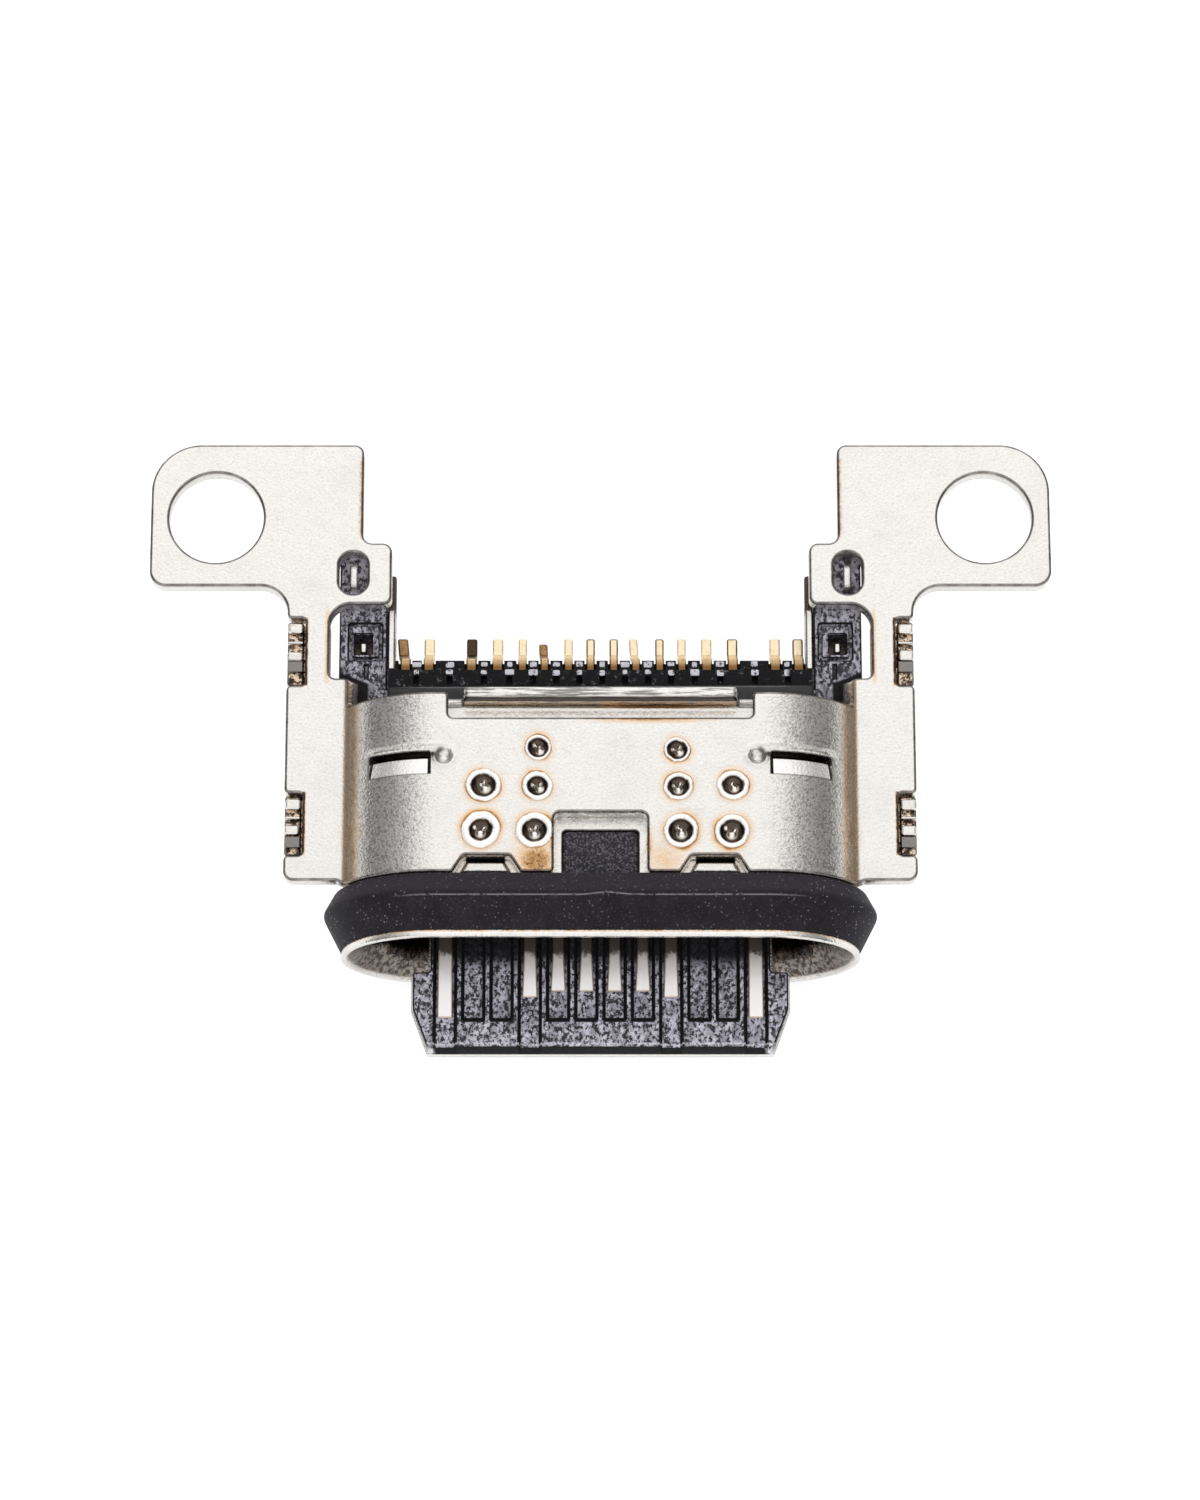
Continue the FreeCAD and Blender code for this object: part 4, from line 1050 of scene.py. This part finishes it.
def makeSeal():
    spec = seal
    corners = [(radius - spec["base"], y, corner) for y, radius, corner in spec["profile"]]
    loop = roundedPoints(corners, 0.015, 0.04)
    mesh = bpy.data.meshes.new("seal profile")
    edges = [(i, (i + 1) % len(loop)) for i in range(len(loop))]
    mesh.from_pydata([(u * mm, v * mm, 0) for u, v in loop], edges, [])
    sockets = (("Profile", "Geometry"), ("Half straight", "Float"), ("Radius", "Float"), ("Stations", "Int"))
    tree = geometryTree("carry round racetrack", sockets, carriedRound)
    ring = grown("seal profile", mesh, tree, sealFinish, **{
        "Half straight": spec["half"] * mm, "Radius": spec["base"] * mm, "Stations": 150})
    half, front, rear, low, high = spec["key"]
    key = slab(rectangle(-half, half, front, rear, 0.08), [], low, high, 0.04)
    return makePiece("seal_ring_shown", [asPart(ring), key], sealFinish)


standsFor(makeSeal(), ["seal_ring"])

lower = {
    "radius": 1.80,
    "half": mouthHalf,
    "wall": 0.25,
    "wingUnder": 0.33,
    "wingHalf": 5.62,
    "front": 1.35,
    "rear": 4.32,
    "wingRear": 5.99,
    "neckInner": 4.86,
    "tabs": ((1.615, 2.70), (4.765, 5.96)),  # front, rear of each
    "tabWall": 0.30,
    "lobe": (0.20, 0.16, 0.50),  # length, first one's middle from the rear end, spacing
    "plate": (0.045, 0.425),  # length, middle from the rear end
    "block": (0.20, 0.86),  # the same
    "edge": 0.04,
}


def blocksInRow(t, block, count, first, step, seed):
    # a row of the same block, each a little different in height and lean
    row = t.add("GeometryNodeMeshLine", {}, {"Count": count, "Start Location": first, "Offset": step})
    ranges = ((-0.08, -0.04, -0.03), (0.08, 0.04, 0.03)), ((0.90, 0.86, 0.96), (1.0, 1.0, 1.0))
    lean, size = [t.add("FunctionNodeRandomValue", {"data_type": "FLOAT_VECTOR"},
                        {"Min": low, "Max": high, "Seed": seed}) for low, high in ranges]
    return t.add("GeometryNodeInstanceOnPoints", {},
                 {"Points": row, "Instance": block, "Rotation": lean, "Scale": size})


def makeLowerBracket():
    spec, wing = lower, lower["wingHalf"]
    wallX = spec["half"] + spec["radius"]
    form = FormPath([(0, -spec["radius"]), (wallX, -spec["radius"], spec["radius"]),
                     (wallX, spec["wingUnder"], 0.12), (wing + 1, spec["wingUnder"])], -1, 0.012)

    def put(along, y, height):
        u, v = form.at(np.abs(along), height)
        return np.sign(along) * u, y, v

    edge, neck = form.length - 1, form.length - 1 - (wing - spec["neckInner"])
    foot = form.lengthAt(0.20, 1)
    outline = [(edge, spec["front"], 0.18), (edge, spec["wingRear"], 0.06), (neck, spec["wingRear"], 0.06),
               (neck, 4.87, 0.12), (foot, 4.80, 0.10), (foot - 0.3, spec["rear"], 0.10)]
    loop = roundedPoints(mirroredLoop(outline), 0.02, 0.04)
    inner = gridPoints(-edge, edge, 1.3, 6.0, 0.06, 0.16)
    parts = [formedSheet([loop], spec["wall"], spec["edge"], put, inner, gap=0.03)]
    blockHalf, (long, first, spacing) = spec["tabWall"] / 2 - 0.005, spec["lobe"]
    lobe = rectangle(-blockHalf, blockHalf, -long / 2, long / 2, 0.06)
    block = makePiece("lobe", [slab(lobe, [], -0.30, 0.30, 0.045)], tabFinish)
    mesh = block.data
    bpy.data.objects.remove(block)
    sockets = (("Block", "Geometry"), ("Count", "Int"), ("First", "Vector"), ("Step", "Vector"),
               ("Seed", "Int"))
    tree = geometryTree("row of lobes", sockets, blocksInRow)
    for side in (-1, 1):
        for number, (front, rear) in enumerate(spec["tabs"]):
            x = side * (wing - spec["tabWall"] / 2)
            lobes = grown("tab lobes", mesh, tree, tabFinish, **{
                "Count": 2, "First": (x * mm, (rear - first) * mm, 0.64 * mm),
                "Step": (0, -spacing * mm, 0), "Seed": 5 + number + side})
            parts.append(asPart(lobes))
            low, high = x - blockHalf, x + blockHalf
            parts.append(slab(rectangle(low, high, front, rear, 0.05), [], 0.34, 0.80, 0.03))
            for (width, back), top in ((spec["plate"], 0.93), (spec["block"], 0.89)):
                upright = patch(x, rear - back, 2 * blockHalf - 0.02, width)
                parts.append(slab(upright, [], 0.6, top, 0.010))
    piece = makePiece("lower_bracket_shown", parts, tabFinish)
    points = pointsOf(piece)
    dark = np.zeros(len(points))
    for _, rear in spec["tabs"]:
        apart = np.abs(points[:, 1] - (rear - spec["block"][1]))
        dark[(apart < 0.12) & (points[:, 2] > 0.81) & (np.abs(points[:, 0]) > 5.3)] = 0.75
    setAttribute(piece, "blackBlock", dark)
    return piece


standsFor(makeLowerBracket(), ["lower_bracket"])

tongueSpec = {
    "tip": -1.83,
    "tipHalf": 3.03,
    "half": 3.32,
    "slant": 0.77,
    "shoulder": -0.40,
    "neckHalf": 3.01,
    "neckEnd": 1.30,
    "root": 2.65,
    "top": 0.35,
    "floor": 0.25,
    "bevel": (0.10, 0.15),  # length, height left at the tip
    "pitch": 0.50,
    "openSlots": (-5.5, -2.5, 2.5, 5.5),
    "closedSlots": (-4.5, -3.5, -1.5, -0.5, 0.5, 1.5, 3.5, 4.5),
    "slotHalf": 0.19,
    "slotFront": -1.25,
    "rootBlock": (3.45, 2.65, 3.60, 0.70),  # half width, front, rear, half height
}


def makeTongue():
    spec = tongueSpec
    tip, half, top, root = spec["tip"], spec["half"], spec["top"], spec["root"]
    neck, shoulder, neckEnd = spec["neckHalf"], spec["shoulder"], spec["neckEnd"]
    bevelLength, bevelLow = spec["bevel"]
    edge = [(spec["tipHalf"], tip, 0.04), (half, tip + spec["slant"], 0.10), (half, shoulder, 0.04),
            (neck, shoulder, 0.06), (neck, neckEnd), (half, neckEnd + 0.25), (half, root)]
    inner = gridPoints(-half, half, tip, tip + 0.32, 0.2, 0.02)

    def squeezed(u, v, height):
        share = np.interp(v, [tip, tip + bevelLength], [bevelLow / top, 1])
        groove = 0.012 * bell(v - tip - 0.19, 0.010) * (np.abs(height) > top - 0.02)
        return u, v, height * share - np.sign(height) * groove

    core = roundedPoints(mirroredLoop(edge), 0.02, 0.1)
    parts = [formedSheet([core], 2 * spec["floor"], 0.02,
                         lambda u, v, height: squeezed(u, v, height + spec["floor"]), inner)]
    reach, pitch, wide = root - 0.1, spec["pitch"], spec["slotHalf"]
    outline = list(edge[::-1])
    for column in reversed(spec["openSlots"]):
        low, high = column * pitch - wide, column * pitch + wide
        outline += [(high, tip), (high, reach), (low, reach), (low, tip)]
    outline += [(-c[0], *c[1:]) for c in edge]
    loops = [roundedPoints(outline, 0.02, 0.1)]
    for column in spec["closedSlots"]:
        low, high, front = column * pitch - wide, column * pitch + wide, spec["slotFront"]
        slot = [(low, front, 0.035), (high, front, 0.035), (high, reach), (low, reach)]
        loops.append(roundedPoints(slot, 0.01, 0.2))
    skin = top - spec["floor"] + 0.02
    for side in (1, -1):
        parts.append(formedSheet(loops, skin, 0.026, lambda u, v, height: squeezed(u, v, side * (height + top)),
                                 inner, gap=0.016))
    x, front, rear, z = spec["rootBlock"]
    parts.append(slab([(-x, front, 0.1), (x, front, 0.1), (x, rear), (-x, rear)], [], -z, z, 0.05))
    piece = makePiece("tongue_shown", parts, tongueFinish)
    points = pointsOf(piece)
    bare = (np.abs(points[:, 0]) > 2.95) & (points[:, 1] < -1.72) & (np.abs(points[:, 2]) < 0.24)
    setAttribute(piece, "glint", bare)
    return piece


standsFor(makeTongue(), ["tongue"])

contactSpec = {
    "wall": 0.085,
    "edge": 0.024,
    "padHeight": 0.2925,
    "padWidth": 0.27,
    "taperEnd": -0.10,
    "jog": (3.70, 4.42),  # from and to, where it moves over to its tail's place
    "drop": 4.88,
    "exit": 0.15,
    "knee": 5.43,
    "foot": (5.63, -0.25),  # y, height
    "end": 5.97,
    "bend": 0.07,
    "corner": 0.036,
    "shift": 0.03,  # the row of tails is this far off the tongue's middle
}
# front end, pad's width behind its taper, tail's width
ground, power, signal = (1.22, 0.25, 0.19), (0.85, 0.22, 0.19), (0.74, 0.20, 0.155)
# pin, column, tail's place in its row, kind
contacts = (
    ("a1", -5.5, -3.55, ground), ("b12", -5.5, -3.13, ground), ("a4", -2.5, -2.36, power),
    ("b9", -2.5, -1.89, power), ("b8", -1.5, -1.44, signal), ("a5", -1.5, -1.04, signal),
    ("b7", -0.5, -0.61, signal), ("a6", -0.5, -0.21, signal), ("a7", 0.5, 0.21, signal),
    ("b6", 0.5, 0.61, signal), ("a8", 1.5, 1.04, signal), ("b5", 1.5, 1.44, signal),
    ("b4", 2.5, 1.89, power), ("a9", 2.5, 2.36, power), ("b1", 5.5, 3.13, ground),
    ("a12", 5.5, 3.55, ground),
)
# the tails that lean, are cut shorter or are tarnished; the rest are straight and gold
oddTails = {
    "a1": (-0.07, 0.0, stainedFinish),
    "a4": (0.0, 0.0, darkFinish),
    "a5": (-0.03, 0.10, stainedFinish),
    "b6": (-0.05, 0.0, goldFinish),
}


def makeContact(pin, column, tailPlace, kind):
    spec, row = contactSpec, 1 if pin.startswith("a") else -1
    lean, shorter, finish = oddTails.get(pin, (0.0, 0.0, goldFinish))
    (front, rearWidth, tailWidth), tailX = kind, tailPlace + spec["shift"]
    level, exitZ, bend = row * spec["padHeight"], spec["exit"], spec["bend"]
    (jogFrom, jogTo), (footY, footZ) = spec["jog"], spec["foot"]
    stops = ((-front, level), (jogTo, level, bend), (spec["drop"], exitZ, bend),
             (spec["knee"], exitZ, bend), (footY, footZ, bend), (spec["end"] - shorter, footZ))
    form = FormPath(stops, row, 0.01)
    at, padX = form.lengthAt, column * tongueSpec["pitch"]
    wide, narrow, half, end = spec["padWidth"] / 2, rearWidth / 2, tailWidth / 2, form.length
    stations = [(0, padX, wide), (at(spec["taperEnd"]), padX, narrow), (at(jogFrom), padX, narrow),
                (at(jogTo), tailX, half), (at(spec["knee"]), tailX, half), (end, tailX + lean, half)]
    corners = [spec["corner"] if along in (0, end) else 0 for along, _, _ in stations]
    left = [(x - w, along, corner) for (along, x, w), corner in zip(stations, corners)]
    right = [(x + w, along, corner) for (along, x, w), corner in zip(stations, corners)]
    loop = roundedPoints(left + right[::-1], 0.01, 0.04)
    rows = np.arange(0.05, end - 0.04, 0.04)
    middles = np.interp(rows, [s[0] for s in stations], [s[1] for s in stations])

    def put(across, along, height):
        return across, *form.at(along, height + spec["wall"] / 2)

    part = formedSheet([loop], spec["wall"], spec["edge"], put, np.column_stack([middles, rows]), gap=0.02)
    node = f"{'upper' if row > 0 else 'lower'}_contact_{pin}"
    standsFor(makePiece(node + "_shown", [part], finish), [node])


for contact in contacts:
    makeContact(*contact)

plateSpec = {
    "half": 0.075,
    "proud": 0.04,
    "legs": (3.72, 4.05, 4.62, 4.60, 7.08, 3.70, 4.25),  # leg from, to, wing's front, outer side and rear, its
    # inner side, the bridge's rear
    "strip": (3.70, 3.83, 5.10, 6.30, 0.5),  # inner side, outer side, front, rear, top
    "post": (4.45, 6.85, 0.14, 0.46, 0.80),  # x, y, width, length, top
    "nub": (4.27, 5.60, 0.12, 0.20, 0.42),  # the same
}


def makeMidPlate():
    spec, tongue, proud = plateSpec, tongueSpec, plateSpec["proud"]
    legIn, legOut, wingFront, wingOut, wingRear, stripIn, rear = spec["legs"]
    # it follows the tongue's outline, a little proud of it, and goes on into the housing's arms
    wide, neck = tongue["half"] + proud, tongue["neckHalf"] + proud
    tip, shoulder, root, waist = tongue["tip"], tongue["shoulder"] + proud, tongue["root"], 2.80
    outline = [
        (tongue["tipHalf"] + proud, tip - proud / 2, 0.03), (wide, tip + tongue["slant"], 0.06),
        (wide, shoulder, 0.05), (neck, shoulder, 0.05), (neck, 1.26), (tongue["half"], 1.55),
        (tongue["half"], root), (waist, root), (waist, 3.63), (legOut, 3.63), (legOut, wingFront),
        (wingOut, wingFront, 0.05), (wingOut, wingRear, 0.05), (stripIn, wingRear, 0.05), (stripIn, wingFront),
        (legIn, wingFront), (legIn, rear),
    ]
    half = spec["half"]
    parts = [slab(mirroredLoop(outline), [], -half, half, 0.02, 0.2)]
    low, high, front, back, top = spec["strip"]
    risers = [slab(rectangle(low, high, front, back, 0.04), [], 0, top, 0.03, 0.1)]
    x, y, wide, long, top = spec["post"]
    lobe = [(y - long / 2, 0), (y + long / 2, 0), (y + long / 2, top, 0.14), (y - long / 2, top, 0.14)]
    eye = rectangle(y - 0.15, y - 0.04, top - 0.30, top - 0.19, 0.03)
    standing = (lambda u, v, height: (height, u, v))
    risers.append(slab(lobe, [eye], x - wide / 2, x + wide / 2, 0.03, 0.1, standing))
    *place, top = spec["nub"]
    risers.append(slab(patch(*place, 0.045), [], 0, top, 0.03, 0.1))
    return makePiece("mid_plate_shown", parts + mirrored(risers), plateFinish)


standsFor(makeMidPlate(), ["mid_plate"])

housingSpec = {
    "bottom": -0.75,
    "arm": ((3.50, 4.35), (4.40, 4.35, 0.06), (4.70, 4.77, 0.12), (4.70, 7.30, 0.12), (3.84, 7.30, 0.12),
            (3.84, 4.78), (3.50, 4.78)),
    "armTop": 0.57,
    "skin": 0.06,
    "pocket": (4.27, 5.60, 0.33, 0.44),  # x, y, width, length
    "frame": (4.23, 5.665, 0.595, 0.69, 0.05),  # the same, and its groove's width
    "comb": (3.84, 4.72, 5.18, 5.40, 0.55, 0.30),  # half width, front, upper rear, lower rear, heights
    "root": (3.50, 4.35, 4.74),  # the wall that the tongue's core stands in: half width, front, rear
    "foot": (4.21, 0.04, 4.98, 5.23),  # a notch in front of the frame: middle, width, front, rear
    "island": 0.05,  # the strip that the frame's island keeps in front of the pocket
    "tailFloor": 0.107,
    "tailClear": 0.03,
    "combPocket": (0.10, 0.15, 0.14),  # width, length, depth
    "base": (1.25, 3.62, 4.35),  # radius, front, rear
    "beads": ((5.25, 5.385, 0.30, 0.075), (5.02, 5.155, 0.55, 0.075)),  # front, rear, height, half width
}


def makeHousing():
    spec, bottom = housingSpec, housingSpec["bottom"]
    x, y, wide, long = spec["pocket"]
    pocket, strip = patch(x, y, wide, long, 0.03), spec["island"]
    shorter = patch(x, y + strip / 2, wide, long - strip, 0.03)
    x, y, wide, long, groove = spec["frame"]
    outside = patch(x, y, wide, long, 0.04)
    inside = patch(x, y, wide - 2 * groove, long - 2 * groove, 0.04)
    x, wide, front, rear = spec["foot"]
    foot = rectangle(x - wide / 2, x + wide / 2, front, rear)
    top, skin = spec["armTop"], spec["skin"]
    parts = mirrored([
        slab(spec["arm"], [pocket], bottom, top - skin, 0.03),
        slab(spec["arm"], [outside, foot], top - skin - 0.05, top, 0.025),
        slab(inside, [shorter], top - skin - 0.03, top, 0.014),
    ])
    half, front, step, rear, high, low = spec["comb"]
    floor, clear = spec["tailFloor"], spec["tailClear"]
    parts.append(slab(rectangle(0.02 - half, half - 0.02, front, rear, 0.03), [], bottom, floor, 0.02))
    tails = [(place + contactSpec["shift"], kind[2]) for _, _, place, kind in contacts]
    outlines = []
    for back in (rear, step):
        outline = [(-half, front), (-half, back)]
        for tailX, width in tails:
            left, right = tailX - width / 2 - clear, tailX + width / 2 + clear
            outline += [(left, back), (left, step - clear), (right, step - clear), (right, back)]
        outlines.append(outline + [(half, back), (half, front)])
    lowEdge, highEdge = outlines
    parts.append(slab(lowEdge, [], floor - 0.05, low, 0.016))
    (wide, long, depth), pocketY = spec["combPocket"], (front + step) / 2
    pockets, random = [], np.random.default_rng(4)
    for (left, _), (right, _) in zip(tails, tails[1:]):
        x = (left + right) / 2
        pockets.append(patch(x, pocketY, wide, long, 0.02))
        for front, back, z, reach in spec["beads"]:
            reach *= random.uniform(0.55, 1.15)
            front, back = front + random.uniform(0, 0.04), back - random.uniform(0, 0.02)
            bead = rectangle(x - reach, x + reach, front, back, 0.025)
            parts.append(slab(bead, [], z - 0.06, z + 0.014, 0.012))
    parts.append(slab(highEdge, [], low - 0.05, high - depth, 0.012))
    parts.append(slab(highEdge, pockets, high - depth - 0.02, high, 0.012))
    half, front, rear = spec["root"]
    parts.append(slab(rectangle(-half, half, front, rear), [], bottom, high, 0.02))
    radius, front, rear = spec["base"]
    track = patch(0, 0, 2 * (tongueSpec["half"] + 0.8), 2 * radius, radius * 0.98)
    parts.append(slab(track, [], front, rear, 0.05, 0.3, lambda u, v, height: (u, height, v)))
    piece = makePiece("housing_shown", parts, housingFinish)
    points = pointsOf(piece)
    # painted highlights on the beads' tops
    glint = np.zeros(len(points))
    for front, back, z, _ in spec["beads"]:
        over = (points[:, 2] > z + 0.004) & (points[:, 2] < z + 0.02) & (np.abs(points[:, 0]) < 3.4)
        glint[over & (points[:, 1] > front) & (points[:, 1] < back)] = 1
    setAttribute(piece, "glint", glint)
    return piece


standsFor(makeHousing(), ["housing"])

potting = {
    "half": 3.80,
    "front": 4.355,
    "rear": 4.80,
    "slope": 4.66,
    "base": 0.05,
    "low": 0.50,
    "top": 1.24,
    "edge": 0.05,
}


def makePotting(name, side):
    spec = potting
    half, front, rear, base, top = spec["half"], spec["front"], spec["rear"], spec["base"], spec["top"]
    corners = [(front, base, 0.08), (rear, base, 0.08), (rear, spec["low"], 0.10), (spec["slope"], top, 0.14),
               (front, top, 0.08)]

    def put(back, up, along):
        # the resin's level wanders along its length
        x = along + half
        wander = 0.035 * np.sin(x * 2.1 + 0.5) + 0.025 * np.sin(x * 5.3 + side) - 0.06
        level = 1 + wander * np.clip(up / top, 0, 1)
        slump = -0.04 * (np.abs(x) / half) ** 4
        return x, back, side * (up * level + slump * (up > 0.6))

    loop, inner = roundedPoints(corners, 0.02, 0.06), gridPoints(front, rear, 0.1, top, 0.1)
    part = formedSheet([loop], 2 * half, spec["edge"], put, inner)
    return makePiece(name + "_shown", [part], resinMaterial)


for name, side in (("upper_potting", 1), ("lower_potting", -1)):
    standsFor(makePotting(name, side), [name])

for name in ("upper_ground_plate", "lower_ground_plate"):
    cadNodes[name].data.materials.clear()
    cadNodes[name].data.materials.append(plateFinish)


studio = {
    "floorHalf": 0.6,
    "floorGlow": 0.62,
    "floorInMetal": 0.6,
    "softbox": ((0.02, 0.10, 0.30), (0.34, 0.24), 0.06),  # place, size, watts
    "fill": ((0.0, -0.30, 0.12), (0.24, 0.08), 0.03),
    # share of the way from dark to bright, grey
    "worldStops": ((0.0, 0.05), (0.30, 0.18), (0.55, 0.34), (0.70, 0.40), (0.78, 0.66), (0.83, 1.0)),
    "worldTilt": (0.75, 0.65),  # how the sky's brightness grows to the back and upward
    "frontGlow": (0.80, 0.60, 0.36, 0.60),  # a glow low in front: its tilt, and where it starts and is full
}


def rayShare(tree, kind):
    return tree.add("ShaderNodeLightPath", {}, [], f"Is {kind} Ray")


def makeFloor():
    wide, z = 2 * studio["floorHalf"], cadBox[0].z
    mesh = bpy.data.meshes.new("floor")
    mesh.from_pydata([(x, y, z) for x, y, _ in patch(0, 0, wide, wide)], [], [(0, 1, 2, 3)])
    f = Finish("paper floor")
    shown = (rayShare(f, "Camera") + rayShare(f, "Glossy") * studio["floorInMetal"]).clamp()
    glow = f.mix(shown, (0, 0, 0), (studio["floorGlow"],) * 3)
    colour = f.mix(f.noise(0.6, 3.0, 0.6), (0.86, 0.86, 0.86), (0.88, 0.88, 0.88))
    f.finish(Base_Color=colour, Roughness=0.9, Specular_IOR_Level=0.0, Emission_Color=glow,
             Emission_Strength=1.0)
    linkPiece("floor", mesh, f.material)


def makeWorld():
    # bright above and behind, dark round the front and the sides, which draws the metal's edges
    world = bpy.data.worlds.new("studio")
    bpy.context.scene.world = world
    world.use_nodes = True
    t = Tree(world.node_tree)
    direction = t.add("ShaderNodeTexCoord", {}, [], "Generated")
    back, up = [t.add("ShaderNodeSeparateXYZ", {}, [direction], k) for k in "YZ"]
    share = back * studio["worldTilt"][0] + up * studio["worldTilt"][1]
    frontTilt, upTilt, glowFrom, glowFull = studio["frontGlow"]
    glow = (up * upTilt - back * frontTilt).between(glowFrom, glowFull)
    ramp = t.add("ShaderNodeValToRGB", {}, [share.largest(glow)])
    elements = ramp.socket.node.color_ramp.elements
    for _ in range(len(studio["worldStops"]) - 2):
        elements.new(0.5)
    for element, (position, level) in zip(elements, studio["worldStops"]):
        element.position, element.color = position, (level, level, level * 1.01, 1.0)
    seen = rayShare(t, "Camera")
    colour = t.add("ShaderNodeMix", {"data_type": "RGBA"}, {0: seen, 6: ramp, 7: (1, 1, 1, 1)}, 2)
    background = world.node_tree.nodes["Background"]
    world.node_tree.links.new(colour.socket, background.inputs["Color"])
    background.inputs["Strength"].default_value = 1.0


middleY = 3.70  # the object's middle, where the camera and the lamps look


def makeLamp(name, place, size, watts):
    lamp = bpy.data.lights.new(name, "AREA")
    lamp.shape, lamp.size, lamp.size_y, lamp.energy = "RECTANGLE", *size, watts
    holder = linked(name, lamp)
    holder.location = place
    holder.rotation_euler = (Vector((0, middleY * mm, 0)) - Vector(place)).to_track_quat("-Z", "Y").to_euler()


cameraSpec = {
    "target": (-0.009 * mm, middleY * mm, 0.35 * mm),
    "away": 90 * mm,
    "elevation": 73.5,
    "frameHeight": 26.9 * mm,
}


def makeCamera():
    spec = cameraSpec
    lens = bpy.data.cameras.new("camera")
    camera = linked("camera", lens)
    tilt = math.radians(spec["elevation"])
    back = Vector((0, -math.cos(tilt), math.sin(tilt)))
    camera.location = Vector(spec["target"]) + back * spec["away"]
    camera.rotation_euler = (-back).to_track_quat("-Z", "Y").to_euler()
    lens.sensor_width = 36
    lens.lens = lens.sensor_width * spec["away"] / spec["frameHeight"]
    lens.clip_start, lens.clip_end = 0.002, 5
    bpy.context.scene.camera = camera


makeFloor()
makeWorld()
makeLamp("overhead softbox", *studio["softbox"])
makeLamp("front fill", *studio["fill"])
makeCamera()
bpy.context.scene.view_settings.view_transform = "Standard"
print("studio made")
